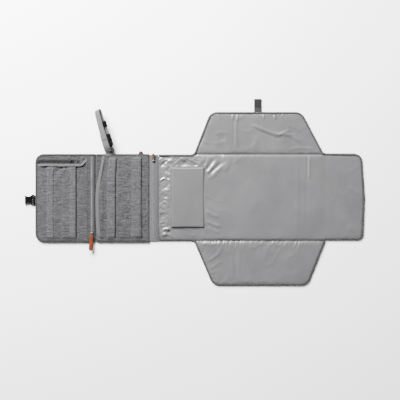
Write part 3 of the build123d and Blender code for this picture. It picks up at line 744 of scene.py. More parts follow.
def make_mat():
    """The middle of the mat with its head end gathered into the zipper."""
    head_top = np.array([(MAT_X0, MAT_Y1), (HEAD_X1, MAT_Y1)])
    head_low = np.array([(MAT_X0, MAT_Y0), (HEAD_X1, MAT_Y0)])
    fold_top = np.array([(HEAD_X1, MAT_Y1), (MAT_X1, MAT_Y1)])
    fold_low = np.array([(HEAD_X1, MAT_Y0), (MAT_X1, MAT_Y0)])
    X, Y = np.meshgrid(np.linspace(MAT_X0, MAT_X1, 216),
                       np.linspace(MAT_Y0 + FOLD_GAP, MAT_Y1 - FOLD_GAP, 122))
    soft = 0.4 * MM * fractal(X / (95 * MM), Y / (80 * MM), 14)
    soft += 0.25 * MM * creased(X - 0.5 * Y, Y + 0.3 * X, 60 * MM, 75 * MM, 35)
    near_head = smooth((260 * MM - X) / (200 * MM))
    soft += puckers(X, Y, fold_top, 22 * MM, 2.4 * MM, 19 * MM, 61, 0.4) * near_head
    soft += puckers(X, Y, fold_low, 10 * MM, 1.6 * MM, 15 * MM, 67)
    across = np.sin(np.pi * np.clip((X - MAT_X0) / (MAT_X1 - MAT_X0), 0, 1))
    soft += 2.2 * MM * across ** 0.6 * np.cos(np.pi * (Y + 18 * MM) / (300 * MM)) ** 2
    head = smooth((-78 * MM - X) / (10 * MM)) * smooth((X - MAT_X0 - 1 * MM) / (5 * MM))
    soft -= 1.5 * MM * (1 - smooth((X - MAT_X0) / (4 * MM)))
    strength = 0.7 + 0.3 * smooth((Y + 60 * MM) / (110 * MM))
    gather = creased(Y + 0.45 * X, X, 13 * MM, 36 * MM, 71)
    gather_fine = creased(Y - 0.8 * X, X, 8 * MM, 18 * MM, 73)
    soft += head * strength * (1.9 + 3.9 * gather + 1.2 * gather_fine) * MM
    top_band = smooth((Y - 83 * MM) / (6 * MM)) * smooth((22 * MM - X) / (18 * MM))
    top_band = top_band * smooth((MAT_Y1 - 7 * MM - Y) / (8 * MM))
    folds_a = creased(X + 0.9 * Y, Y, 15 * MM, 30 * MM, 79)
    folds_b = creased(X - 1.2 * Y, Y, 11 * MM, 24 * MM, 83)
    soft += top_band * (1.9 + 3.2 * folds_a + 2.2 * folds_b) * MM
    low_band = smooth((-118 * MM - Y) / (6 * MM)) * smooth((36 * MM - X) / (25 * MM))
    soft += low_band * (0.6 + 1.6 * creased(X + 1.1 * Y, Y, 18 * MM, 26 * MM, 89)) * MM
    beside = smooth((X - 32 * MM) / (6 * MM)) * np.exp(-np.maximum(X - 32 * MM, 0) / (38 * MM))
    soft += beside * (0.4 + 1.5 * creased(Y + 0.5 * X, X, 24 * MM, 60 * MM, 97)) * MM
    soft += creases(X, Y, ([(-110, -130), (-96, -121), (-78, -124)], 4.6, 3.9),
                    ([(-110, -146), (-98, -138), (-90, -141)], 4.5, 2.9),
                    ([(-98, -134), (-80, -132)], 4, -1.2),
                    ([(33, 76), (40, 96), (50, 119)], 4, 2.4),
                    ([(36, 66), (50, 88), (64, 112)], 4.5, -1.8),
                    ([(36, 58), (58, 84), (80, 110)], 5, 2.6),
                    ([(44, 56), (70, 80), (94, 104)], 5, -1.5),
                    ([(52, 52), (84, 78), (112, 100)], 7, 1.7),
                    ([(38, 44), (56, 50), (76, 62)], 6, 1.1),
                    ([(114, 118), (108, 88), (96, 64)], 7, 1.8),
                    ([(142, 118), (134, 92)], 8, 0.9),
                    ([(36, 112), (16, 96), (8, 90)], 6, 1.4),
                    ([(34, -58), (56, -74), (84, -84)], 5.5, 1.5),
                    ([(34, -92), (58, -106), (90, -116)], 5, 1.9),
                    ([(40, -114), (62, -128), (86, -136)], 6, 1.2),
                    ([(371, 128), (371, 30)], 2.4, -1.3, 0.15),
                    ([(378, 128), (377, 40)], 3.6, 1.6, 0.15),
                    ([(369, 60), (366, -158)], 5, -0.45),
                    ([(338, 120), (336, -158)], 4, 0.45),
                    ([(352, 60), (350, -158)], 7, -0.35))
    soft *= smooth((MAT_X1 - X) / (24 * MM))
    soft -= 0.55 * MM * np.exp(-((MAT_X1 - X) / (9 * MM)) ** 2)
    pad("mat_pad", X, Y, [head_top, head_low], [fold_top, fold_low], 1.1 * MM, soft,
        "mat", ["mat_vinyl", "mat_foam"], VINYL, "vinyl", PAD_LOW, VINYL_Z)
    backing("mat_back", X, Y, "mat", "mat_backing")
    y = np.arange(MAT_Y0 + 8 * MM, MAT_Y1 - 8 * MM, 2 * MM)
    row = np.column_stack([np.full(len(y), MAT_X0 + 1.8 * MM), y, np.full(len(y), VINYL_Z + 0.15 * MM)])
    seam = orient(thread_line(row, EDGING, "head_seam", 4.6 * MM, 3.2 * MM, 0.5 * MM, 0.3 * MM))
    finish_piece(seam, "mat")


def make_mat_edges():
    """Binding along the two short free edges beside the pillow."""
    inside = ((MAT_X0 + HEAD_X1) / 2, 0)
    for side, y, seed in (("top", MAT_Y1, 31), ("bottom", MAT_Y0, 37)):
        path = even(np.array([(MAT_X0, y), (HEAD_X1, y)]), 3 * MM)
        bound_edge(f"mat_edge_{side}", path, inside, EDGE_LOW, MAT_BIND_Z, EDGING, THREAD, "mat",
                   ["mat_binding"], seed)


def make_foot():
    """The foot panel, from its fold to its rounded outer corners."""
    x0, x1, y0, y1, _, _ = FOOT
    path = rounded_path([(x0, y0), (x1 - 5 * MM, y0), (x1, -20 * MM), (x1 - 10 * MM, y1 - 3 * MM),
                         (x0, y1)], FOOT_RADIUS)
    y = crowded(y0, y1, 112)
    edge = path[path[:, 0] > x1 - FOOT_RADIUS - 9 * MM]
    X, Y = rows(y, np.array([(x0, y0), (x0, y1)]), edge, 52)
    soft = 0.35 * MM * fractal(X / (80 * MM), Y / (80 * MM), 19)
    soft += 0.4 * MM * creased(X - 0.4 * Y, Y + 0.3 * X, 40 * MM, 55 * MM, 39)
    soft += puckers(X, Y, path, 14 * MM, 1.6 * MM, 17 * MM, 91)
    soft += creases(X, Y, ([(508, 20), (528, 4), (548, -10)], 6, 1.1),
                    ([(500, -112), (526, -126), (548, -128)], 9, 0.9),
                    ([(512, -60), (516, -110)], 9, -0.6),
                    ([(505, 60), (530, 80), (548, 84)], 7, 0.7))
    soft *= smooth((X - x0) / (24 * MM))
    soft -= 0.55 * MM * np.exp(-((X - x0) / (9 * MM)) ** 2)
    pad("foot_pad", X, Y, [path], [], 1.1 * MM, soft, "foot", ["foot_vinyl", "foot_foam"],
        VINYL, "vinyl", PAD_LOW, VINYL_Z)
    backing("foot_back", X, Y, "foot", "foot_backing")
    bound_edge("foot_edge", path, ((x0 + x1) / 2, 0), EDGE_LOW, MAT_BIND_Z, EDGING, THREAD,
               "foot", ["foot_binding"], 43)


def make_pillow():
    """The head pillow: flat-topped, steep-sided, piped all round."""
    x0, x1, y0, y1, z0, z1 = PILLOW
    s = np.linspace(-1, 1, 64)
    t = np.linspace(-1, 1, 108)
    S, T = np.meshgrid(np.sign(s) * abs(s) ** 0.72, np.sign(t) * abs(t) ** 0.8)
    pull = 0.9 * MM
    X = (x0 + x1) / 2 + S * ((x1 - x0) / 2 - pull * (1 - T ** 2))
    Y = (y0 + y1) / 2 + T * ((y1 - y0) / 2 - pull * (1 - S ** 2))
    far = np.minimum((1 - abs(S)) * (x1 - x0) / 2, (1 - abs(T)) * (y1 - y0) / 2)
    crown = 1 - np.exp(-(far / (1.9 * MM)) ** 1.3)
    dome = 0.7 * MM * (1 - S ** 2) * (1 - T ** 2)
    soft = 0.12 * MM * fractal(X / (40 * MM), Y / (40 * MM), 29)
    top = z0 + 0.7 * MM + (z1 - z0 - 0.7 * MM) * crown + dome + soft * crown
    cover = closed_sheet("pillow", X, Y, top, z0 + 0.1 * MM, PILLOW_CLOTH)
    corner = rounded_path([(x0, 0), (x0, y1), (x1, y1), (x1, y0), (x0, y0), (x0, 0.0)], 7 * MM, 2 * MM)
    ring = np.column_stack([corner, np.full(len(corner), z0 + 0.75 * MM)])
    piping = tube("pillow_piping", ring, 1.15 * MM, EDGING)
    finish_piece(cover, "mat", ["pillow_cover", "pillow_foam"])
    finish_piece(piping, "mat")


make_wing("top")
make_wing("bottom")
make_mat()
make_mat_edges()
make_foot()
make_pillow()


def corner_gusset(name, corner, level, slanted, radius):
    """Binding that rounds the inner corner where a wing leaves the mat's edge."""
    corner = np.array(corner)
    arc = corner_arc(corner, level, slanted, radius, 17)
    back = corner - unit(unit(level) + unit(slanted)) * 2.5 * MM
    share = np.linspace(0, 1, 9)
    X = arc[:, 0][:, None] * (1 - share) + back[0] * share
    Y = arc[:, 1][:, None] * (1 - share) + back[1] * share
    far = np.hypot(X - arc[:, 0][:, None], Y - arc[:, 1][:, None])
    top = 3.0 * MM + 2.2 * MM * smooth(far / (2 * MM) + 0.25)
    piece = orient(closed_sheet(name, X, Y, top, 0.1 * MM, EDGING))
    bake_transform(piece)


def make_gussets():
    """Three rounded inner corners where the wings leave the mat."""
    top, low = sides("wing_top_binding"), sides("wing_bottom_binding")
    rise_top = np.array((WING_OUT["top"][0] - top[0], top[3] - top[2]))
    rise_low = np.array((WING_OUT["bottom"][0] - low[0], low[2] - low[3]))
    corner_gusset("corner_top_head", (top[0] - 0.3 * MM, MAT_Y1), (-1, 0), rise_top, 15 * MM)
    corner_gusset("corner_bottom_head", (low[0] - 0.3 * MM, MAT_Y0), (-1, 0), rise_low, 15 * MM)
    rise_top = np.array((WING_OUT["top"][1] - top[1], top[3] - top[2]))
    corner_gusset("corner_top_foot", (top[1] + 0.6 * MM, FOOT[3] + 0.4 * MM), (1, 0), rise_top, 11 * MM)


make_gussets()


def make_fold_seams():
    """Coated cloth that runs on across each fold of the mat. The two strips at the wing folds are
    coloured far darker than the vinyl, as painted shade deep in the fold grooves; the foot strip is
    plain vinyl.
    """
    z = VINYL_Z - 2.9 * MM
    span = 1.9 * MM
    spots = (("top", MAT_Y1, 1), ("bottom", MAT_Y0, -1))
    for side, y, way in spots:
        # Painted shade: these strips are coloured darker than the vinyl for the shade in the fold
        # groove, over a groove that is also sunk.
        seam_strip(f"fold_seam_{side}", HEAD_X1 + 1 * MM, MAT_X1 - 1 * MM, y - span, y + span, "y", z,
                   FOLD_PAINTED_SHADE)
    x = (MAT_X1 + FOOT[0]) / 2
    seam_strip("fold_seam_foot", x - 1.6 * MM, x + 1.6 * MM, MAT_Y0 + 6 * MM, MAT_Y1 - 5 * MM, "x",
               VINYL_Z + 0.57 * MM,
               VINYL, 0.0)


make_fold_seams()

# ---------------------------------------------------------------------------
# The clutch: two padded panels, their bindings and the hinge between them


def make_flap_panel():
    """The flap's padded panel, hollow behind the pocket's mouth."""
    outline = rounded_path([(FLAP_X1, CLUTCH_Y1), (FLAP_X0, CLUTCH_Y1), (FLAP_X0, CLUTCH_Y0),
                            (FLAP_X1, CLUTCH_Y0)], FLAP_RADIUS)
    y = crowded(CLUTCH_Y0, CLUTCH_Y1, 150)
    bend = outline[:, 0] < FLAP_X0 + FLAP_RADIUS
    left = outline[bend][::-1] + (0.8 * MM, 0)
    X, Y = rows(y, left, np.array([(FLAP_X1, CLUTCH_Y0), (FLAP_X1, CLUTCH_Y1)]), 90)
    top = LINING_Z + 0.25 * MM * fractal(X / (28 * MM), Y / (34 * MM), 103)
    mouth = smooth((Y / MM - 84) / 6) * smooth((108 - Y / MM) / 15)
    open_part = smooth((X / MM + 520) / 6) * smooth((-372 - X / MM) / 30)
    top -= 6.0 * MM * mouth * open_part
    top += creases(X, Y, ([(-412, 94), (-408, 106), (-420, 117)], 4, 3.0),
                   ([(-392, 90), (-386, 104), (-392, 116)], 4, 3.2),
                   ([(-374, 92), (-368, 108), (-372, 118)], 3.5, 2.6))
    edge, _ = nearest(X, Y, outline)
    top -= 0.9 * MM * np.exp(-(edge / (4 * MM)) ** 2)
    low = 0.15 * MM + 0.1 * MM * noise(X / (25 * MM), Y / (25 * MM), 107)
    panel = closed_sheet("flap_panel", X, Y, top, low, HEATHER)
    finish_piece(panel, "flap",
                 ["flap_shell", "flap_stiffener", "flap_lining"])
    inside = ((FLAP_X0 + FLAP_X1) / 2, (CLUTCH_Y0 + CLUTCH_Y1) / 2)
    bound_edge("flap_edge", outline, inside, EDGE_LOW, CLUTCH_Z, HEATHER_BAND, THREAD, "flap",
               ["flap_binding"], 47)


def channel_columns():
    """Columns across the back panel, closer together at the walls of the zip channel."""
    wall0, wall1 = OUTER_ZIP[0] - 0.4 * MM, OUTER_ZIP[1] + 0.4 * MM
    lip = 0.35 * MM
    spans = [np.linspace(BACK_X0, wall0 - lip, 66), np.linspace(wall0, wall1, 9),
             np.linspace(wall1 + lip, BACK_X1, 10)]
    return np.concatenate(spans), wall0, wall1


OUTER_ZIP = sides("outer_zip_tape")
OUTER_PULL = sides("outer_pull")


def make_back_panel():
    """The back panel, with a channel underneath for the outer zipper."""
    x, wall0, wall1 = channel_columns()
    y = np.concatenate([np.linspace(CLUTCH_Y0, OUTER_ZIP[2] - 1 * MM, 5),
                        np.linspace(OUTER_ZIP[2] - 0.6 * MM, CLUTCH_Y1 - 0.6 * MM, 110)])
    X, Y = np.meshgrid(x, y)
    top = LINING_Z + 0.25 * MM * fractal(X / (30 * MM), Y / (34 * MM), 113)
    edge = np.minimum(Y - CLUTCH_Y0, CLUTCH_Y1 - Y)
    top -= 0.9 * MM * np.exp(-(edge / (4 * MM)) ** 2)
    low = 0.15 * MM + 0.1 * MM * noise(X / (25 * MM), Y / (25 * MM), 127)
    channel = (X > wall0 - 1e-6) & (X < wall1 + 1e-6) & (Y > OUTER_ZIP[2] - 0.8 * MM)
    low = np.where(channel, OUTER_ZIP[5] + 0.05 * MM, low)
    panel = closed_sheet("back_panel", X, Y, top, low, HEATHER)
    finish_piece(panel, "clutch_back",
                 ["back_shell", "back_stiffener", "back_lining"])
    inside = ((BACK_X0 + BACK_X1) / 2, 0)
    for name, y_edge in (("back_edge_top", CLUTCH_Y1), ("back_edge_bottom", CLUTCH_Y0)):
        path = even(np.array([(BACK_X0, y_edge), (BACK_X1, y_edge)]), 3 * MM)
        lift = 0.0
        if y_edge > 0:
            reach = (OUTER_PULL[1] - OUTER_PULL[0]) / 2 + 3 * MM
            middle = (OUTER_PULL[0] + OUTER_PULL[1]) / 2
            lift = (OUTER_PULL[5] + 0.7 * MM) * smooth((reach - abs(path[:, 0] - middle)) / (2 * MM))
        bound_edge(name, path, inside, EDGE_LOW + lift, CLUTCH_Z, HEATHER_BAND, THREAD,
                   "clutch_back", ["back_binding"], 53)


def make_spine():
    """The cloth hinge between the clutch's panels: it dips where it folds."""
    x0, x1 = FLAP_X1 - 0.2 * MM, BACK_X0 + 0.2 * MM
    X, Y = np.meshgrid(np.linspace(x0, x1, 11), np.linspace(CLUTCH_Y0 + 1 * MM, CLUTCH_Y1 - 1 * MM, 140))
    t = (X - x0) / (x1 - x0)
    top = LINING_Z - 0.5 * MM - 3.4 * MM * np.sin(np.pi * t) ** 1.5
    top += 0.3 * MM * noise(Y / (8 * MM), t, 131) * np.sin(np.pi * t)
    spine = closed_sheet("spine_hinge", X, Y, top, 0.1 * MM, HEATHER)
    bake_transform(spine)
    finish_piece(spine, None, ["spine_strip"])


# ---------------------------------------------------------------------------
# Pockets


def heather_sheet(name, X, Y, top, thick, body, nodes):
    """A pocket's cloth, as a closed sheet of the given thickness."""
    obj = closed_sheet(name, X, Y, top, top - thick, POCKET_CLOTH)
    finish_piece(obj, body, nodes)


def held_down(top, low, high, held):
    """A pocket's face, flat where held is 0 and free, under its highest place, where it is 1."""
    return low + HEM_LIFT + (np.minimum(top, high - 0.5 * MM) - low - HEM_LIFT) * held


def bands_of(x, levels):
    """Height across a pocket, from (x, height) pairs in mm."""
    places = np.array(levels)
    return np.interp(x / MM, places[:, 0], places[:, 1]) * MM


FLAP_STEPS = [(-520, 9.0), (-489, 8.4), (-485.5, 10.6), (-467, 12.3), (-463.5, 11.3), (-439, 8.9),
              (-434, 10.9), (-392.5, 12.5), (-389.5, 8.7), (-386, 9.3), (-358, 8.4)]
SLIP_STEPS = [(-330, 11.6), (-304, 11.2), (-299, 9.6), (-290, 8.6), (-286, 10.9), (-263.5, 12.4),
              (-260, 9.6), (-256, 10.4), (-235, 10.6), (-210, 9.6), (-206, 11.2), (-177, 12.5),
              (-173.5, 8.5), (-153, 7.8)]


def pleat(name, X, Y, top, left, right, body, lift=0.55 * MM):
    """A flat pleat laid over a pocket: its own doubled strip of cloth."""
    share = np.linspace(0, 1, 15)
    rows_x, rows_y, rows_z = [], [], []
    for j in range(len(X)):
        start = np.interp(Y[j].mean() / MM, *left)
        end = np.interp(Y[j].mean() / MM, *right)
        x = (start + (end - start) * share) * MM
        rows_x.append(x)
        rows_y.append(np.interp(x, X[j], Y[j]))
        rows_z.append(np.interp(x, X[j], top[j]))
    x, y, z = np.array(rows_x), np.array(rows_y), np.array(rows_z)
    edge = smooth(share / 0.09) * smooth((1 - share) / 0.09)
    z = z + 0.12 * MM + lift * edge[None, :]
    strip = orient(closed_sheet(name, x, y, z, z - 0.5 * MM - lift * edge[None, :] * 0.4, PLEAT_CLOTH))
    return finish_piece(strip, body)


def mouth_line(x):
    """Where the flap pocket's mouth runs: level, then up to the binding at its right end."""
    ripple = 0.9 * MM * noise(x / (19 * MM), x * 0, 145)
    return 87.5 * MM + ripple + 18 * MM * smooth((x / MM + 378) / 24) ** 1.3


def make_flap_pocket():
    """The flap pocket, gathered under its elastic and pleated twice."""
    x0, x1, y0, _, low, high = FLAP_POCKET
    x = np.linspace(x0, x1, 150)
    t = np.linspace(0, 1, 170)
    X = np.repeat(x[None, :], len(t), 0)
    start = y0 - 1 * MM + 24 * MM * np.clip(1 - (x - x0) / (20 * MM), 0, 1) ** 2.5
    Y = start[None, :] + (mouth_line(x) - start)[None, :] * t[:, None]
    top = bands_of(X, FLAP_STEPS)
    top += (0.35 * fractal(X / (35 * MM), Y / (60 * MM), 137)) * MM
    hem = mouth_line(X) - Y
    wave = noise(X / (6.5 * MM), hem / (60 * MM), 139)
    fine = noise(X / (3.6 * MM) + hem / (24 * MM), hem / (30 * MM), 149)
    middle = smooth((X / MM + 500) / 30) * smooth((-362 - X / MM) / 14)
    top += middle * np.exp(-hem / (15 * MM)) * (2.0 * wave + 1.3 * fine) * MM
    top -= 1.6 * MM * np.exp(-((hem - 6.5 * MM) / (2.2 * MM)) ** 2) * (0.6 + 0.8 * fine)
    top += creases(X, Y, ([(-436, 76), (-437, -30)], 2.2, -1.1),
                   ([(-389, 84), (-389, 0), (-388, -156)], 1.7, -1.8, 0.02),
                   ([(-465, 74), (-464, -156)], 1.8, -0.9, 0.04),
                   ([(-412, 78), (-402, 10), (-399, -150)], 3, 0.7),
                   ([(-424, 78), (-440, 60), (-444, 44)], 4, 1.2),
                   ([(-432, 84), (-452, 70), (-462, 52)], 3.5, -1.3),
                   ([(-456, 84), (-468, 66), (-470, 44)], 3.5, 1.0),
                   ([(-384, 80), (-386, 60)], 3.5, -1.5),
                   ([(-512, -86), (-462, -92), (-400, -70)], 9, 0.5))
    top += 0.5 * MM * creased(Y - 0.12 * X, X, 6 * MM, 60 * MM, 141) * smooth((-392 - X / MM) / 8)
    top += 0.3 * MM * noise(X / (40 * MM), Y / (3.2 * MM), 143)
    held = smooth((X - x0) / (16 * MM) + 0.06) * smooth((x1 - X) / (7 * MM) + 0.04)
    held = held * smooth((Y - start[None, :]) / (14 * MM) + 0.05)
    top = held_down(top, low, high, held)
    heather_sheet("flap_pocket_cloth", X, Y, top, 0.8 * MM, "flap",
                  ["flap_pocket"])
    ends = ([-160, 90], [-486, -486])
    pleat("flap_pocket_pleat_a", X, Y, top, ends, ([-160, 90], [-463, -465]), "flap")
    pleat("flap_pocket_pleat_b", X, Y, top, ([-160, 20, 90], [-412, -410, -414]),
          ([-160, 90], [-389.5, -389.5]), "flap")


def edge_elastic(name, middle, width, height, body, node, gathers=True):
    """A flat elastic sewn along a pocket's mouth, drawing it up in small gathers."""
    middle = even(middle, 1.2 * MM)
    height = np.interp(np.linspace(0, 1, len(middle)), np.linspace(0, 1, len(height)), height)
    width = np.interp(np.linspace(0, 1, len(middle)), np.linspace(0, 1, len(width)), width)
    normal = inward(middle, middle[len(middle) // 2] + (0, 1))
    s = np.linspace(-0.5, 0.5, 9)
    X = middle[:, 0][:, None] + normal[:, 0][:, None] * width[:, None] * s[None, :]
    Y = middle[:, 1][:, None] + normal[:, 1][:, None] * width[:, None] * s[None, :]
    along = np.arange(len(middle)) * 1.2 * MM
    gather = noise(along / (3.1 * MM), along * 0, 151)[:, None] * np.ones_like(s)[None, :]
    round_over = (1 - (abs(s) * 2) ** 4)[None, :]
    Z = height[:, None] - 0.9 * MM * (1 - round_over)
    if gathers:
        Z = Z + 0.28 * MM * gather
    strip = orient(closed_sheet(name, X, Y, Z, Z - 1.1 * MM, ELASTIC))
    rows_of = []
    for share in (-0.33, 0.33):
        line = middle + normal * (width * share)[:, None]
        rows_of.append(orient(thread_line(np.column_stack([line, height + 0.05 * MM]), THREAD,
                                          pitch=3.4 * MM, length=2.4 * MM)))
    strip = join(name, [strip, *rows_of])
    return finish_piece(strip, body, [node])


def make_flap_elastic():
    """The elastic along the flap pocket's mouth."""
    x = np.linspace(FLAP_POCKET[0] + 0.5 * MM, FLAP_POCKET[1] - 0.5 * MM, 60)
    middle = np.column_stack([x, mouth_line(x) + 0.5 * MM])
    rise = smooth((x - x[0]) / (18 * MM)) * smooth((x[-1] - x) / (16 * MM))
    edge_elastic("flap_pocket_edge", middle, np.full(60, 8.5 * MM), 8.8 * MM + 4.0 * MM * rise, "flap",
                 "flap_pocket_elastic")


def slip_edge(y):
    """Where the slip pocket's mouth runs, bowed towards the hinge."""
    t = (y / MM + 157.5) / 276.5
    return (-318.5 - 7.5 * np.sin(np.pi * np.clip(t, 0, 1) ** 0.85)
            + 12.5 * smooth((t - 0.5) / 0.5)) * MM


def make_slip_pocket():
    """The slip pocket, its mouth bowed towards the hinge, with two pleats."""
    _, x1, y0, y1, low, high = SLIP_POCKET
    y = np.linspace(y0 - 1 * MM, y1 + 1 * MM, 180)
    left = slip_edge(y) + 1 * MM
    t = np.linspace(0, 1, 150)
    X = left[:, None] + (x1 - left)[:, None] * t[None, :]
    Y = np.repeat(y[:, None], len(t), 1)
    bow = 6 * MM * smooth((Y / MM - 40) / 80)
    top = bands_of(X - bow * smooth((-230 * MM - X) / (60 * MM)), SLIP_STEPS)
    top += 0.35 * fractal(X / (35 * MM), Y / (60 * MM), 157) * MM
    between = smooth((X / MM + 262) / 8) * smooth((-205 - X / MM) / 8)
    top += 0.7 * MM * creased(Y + 0.1 * X, X, 6.5 * MM, 50 * MM, 163) * (0.25 + 0.75 * between)
    top += 0.3 * MM * noise(X / (40 * MM), Y / (3.2 * MM), 167)
    top += creases(X, Y, ([(-255, 118), (-259, 30), (-259, -156)], 1.6, -1.6, 0.02),
                   ([(-174, 118), (-176, 0), (-179, -156)], 1.8, -1.0, 0.02),
                   ([(-300, 100), (-306, 40), (-296, 20)], 6, -1.6),
                   ([(-290, 62), (-286, 22), (-268, 8)], 6, 0.9),
                   ([(-268, 26), (-262, 4), (-268, -14)], 5, -1.2),
                   ([(-238, 4), (-250, -8), (-256, -24)], 6, 0.8),
                   ([(-302, -60), (-300, -150)], 4, -0.8),
                   ([(-250, -60), (-214, -50), (-206, -30)], 8, 0.5),
                   ([(-172, -84), (-160, -72), (-153, -58)], 3, 0.9),
                   ([(-172, -106), (-162, -92), (-153, -84)], 3, 0.8),
                   ([(-170, -130), (-160, -122), (-153, -120)], 3, 0.7))
    sides_held = smooth((y1 - Y) / (15 * MM) + 0.05) * smooth((Y - y0) / (15 * MM) + 0.05)
    end_held = smooth((x1 - X) / (10 * MM) + 0.04)
    edge_held = 0.75 + 0.25 * smooth((X - left[:, None]) / (6 * MM))
    held = sides_held * end_held * edge_held
    top = held_down(top, low, high, held)
    heather_sheet("slip_pocket_cloth", X, Y, top, 0.8 * MM, "clutch_back",
                  ["slip_pocket"])
    pleat("slip_pocket_pleat_a", X, Y, top, ([-160, 20, 60, 120], [-289, -288, -286, -281]),
          ([-160, 20, 60, 120], [-260.5, -261, -260, -255]), "clutch_back")
    pleat("slip_pocket_pleat_b", X, Y, top, ([-160, 120], [-208, -205]),
          ([-160, 0, 120], [-179.5, -177, -174.5]), "clutch_back")
    yy = np.linspace(y0, y1 - 0.5 * MM, 60)
    middle = np.column_stack([slip_edge(yy) + 5 * MM, yy])
    rise = smooth((yy - yy[0]) / (20 * MM)) * smooth((yy[-1] - yy) / (20 * MM))
    width = (11.5 - 2.5 * smooth((yy / MM - 20) / 80)) * MM
    edge_elastic("slip_pocket_edge", middle, width, 8.6 * MM + 3.6 * MM * rise, "clutch_back",
                 "slip_pocket_elastic", gathers=False)


make_flap_panel()
make_back_panel()
make_spine()
make_flap_pocket()
make_flap_elastic()
make_slip_pocket()

# ---------------------------------------------------------------------------
# Zippers


def tape_strip(name, x0, x1, y0, y1, z0, z1, body, node, material, swell=0.0, seed=0):
    """A zipper's woven tape, a little wavy along its edges."""
    y = np.linspace(y0, y1, 120)
    t = np.linspace(0, 1, 15)
    wave = 0.35 * MM * noise(y / (17 * MM), y * 0, seed)
    X = x0 + wave[:, None] + (x1 - x0 - wave[:, None]) * t[None, :]
    Y = np.repeat(y[:, None], len(t), 1)
    top = z1 + swell * np.sin(np.pi * t)[None, :] ** 0.5
    top = top + 0.12 * MM * noise(Y / (11 * MM), t[None, :] * 3, seed)
    strip = orient(closed_sheet(name, X, Y, top, z0, material))
    return finish_piece(strip, body, [node])


def teeth(name, middle, half, y0, y1, z, body, node, up=1, pitch=1.45 * MM):
    """Two rows of moulded coil loops that mesh along the middle of the tape."""
    verts, faces = [], []
    count = int((y1 - y0) / pitch)
    for k in range(count):
        for side in (-1, 1):
            y = y0 + (k + (0.25 if side < 0 else 0.75)) * pitch
            base = len(verts)
            for across, tall, deep in ((0.98, 0.0, 0.42), (0.9, 0.62, 0.34), (0.45, 1.0, 0.3),
                                       (0.02, 0.85, 0.36), (-0.16, 0.3, 0.42)):
                x = middle + side * across * half
                h = z + up * tall * 1.15 * MM
                low = z
                for dy in (-deep, deep):
                    verts.append((x, y + dy * pitch, h))
                for dy in (deep, -deep):
                    verts.append((x, y + dy * pitch, low))
            for ring in range(4):
                for j in range(4):
                    p = base + ring * 4 + j
                    q = base + ring * 4 + (j + 1) % 4
                    faces.append((p, q, q + 4, p + 4))
            faces.append((base + 3, base + 2, base + 1, base))
            faces.append((base + 16, base + 17, base + 18, base + 19))
    row = orient(add_object(name, verts, faces, COIL))
    return finish_piece(row, body, [node])


def make_zipper(prefix, node_tape, node_teeth, body, material, up=1, swell=0.0,
                seed=0, longer=0.0):
    """A zipper's tape and teeth, with two rows of stitches if it faces up."""
    x0, x1, y0, y1, z0, z1 = sides(node_tape)
    tx0, tx1, ty0, ty1, tz0, tz1 = sides(node_teeth)
    tape_strip(f"{prefix}_tape", x0, x1, y0 - longer, y1, z0, z1, body, node_tape, material, swell, seed)
    base = tz0 if up > 0 else tz1
    teeth(f"{prefix}_teeth", (tx0 + tx1) / 2, (tx1 - tx0) / 2, ty0, ty1, base, body, node_teeth, up)
    line = even(np.array([(x0 + 1.5 * MM, y0 + 2 * MM), (x0 + 1.5 * MM, y1 - 2 * MM)]), 4 * MM)
    other = line + (x1 - x0 - 3 * MM, 0)
    if up > 0:
        for k, seam in enumerate((line, other)):
            row = orient(thread_line(np.column_stack([seam, np.full(len(seam), z1 + swell * 0.5)]),
                                     THREAD, f"{prefix}_seam_{k}", 3.2 * MM, 2.3 * MM))
            finish_piece(row, body)


def pull_tab(name, node, body, start, way, near, far, lean, material, thread):
    """A stitched leather puller: narrow at its ring end, round at the other."""
    x0, x1, y0, y1, z0, z1 = sides(node)
    middle = (x0 + x1) / 2
    length = y1 - y0
    steps = np.linspace(0, 1, 34)
    width = near + (far - near) * smooth(steps / 0.75)
    cap = far / length
    tip = np.clip((steps - (1 - cap)) / cap, 0, 1)
    width = width * np.sqrt(np.clip(1 - tip ** 2, 0.012, 1))
    width = width * np.sqrt(np.clip(1 - np.clip(1 - steps / 0.03, 0, 1) ** 2 * 0.5, 0.05, 1))
    rings = []
    profile = [(-1, 0.3), (-0.93, 0.72), (-0.8, 0.92), (0, 1.0), (0.8, 0.92), (0.93, 0.72),
               (1, 0.3), (0.93, 0.06), (0.0, 0.0), (-0.93, 0.06)]
    for across, tall in profile:
        x = middle + across * width + lean * steps * length
        y = start + way * steps * length
        edge = np.where(steps > 0.985, 0.5 + (tall - 0.5) * 0.55, tall)
        rings.append(np.column_stack([x, y, z0 + (z1 - z0) * edge]))
    body_mesh = orient(strip_object(name, np.stack(rings, 1), material))
    ring = []
    for k in range(41):
        t = k / 40
        s = 0.06 + 0.86 * (t * 2 if t < 0.5 else 2 - t * 2)
        half = np.interp(s, steps, width) - 1.5 * MM
        side = -1 if t < 0.5 else 1
        ring.append((middle + side * max(half, 0.4 * MM) + lean * s * length,
                     start + way * s * length, z0 + (z1 - z0) * 0.94))
    seam = orient(thread_line(ring, thread, name + "_thread", 2.6 * MM, 1.9 * MM, 0.22 * MM, 0.1 * MM))
    piece = join(name, [body_mesh, seam])
    return finish_piece(piece, body, [node])


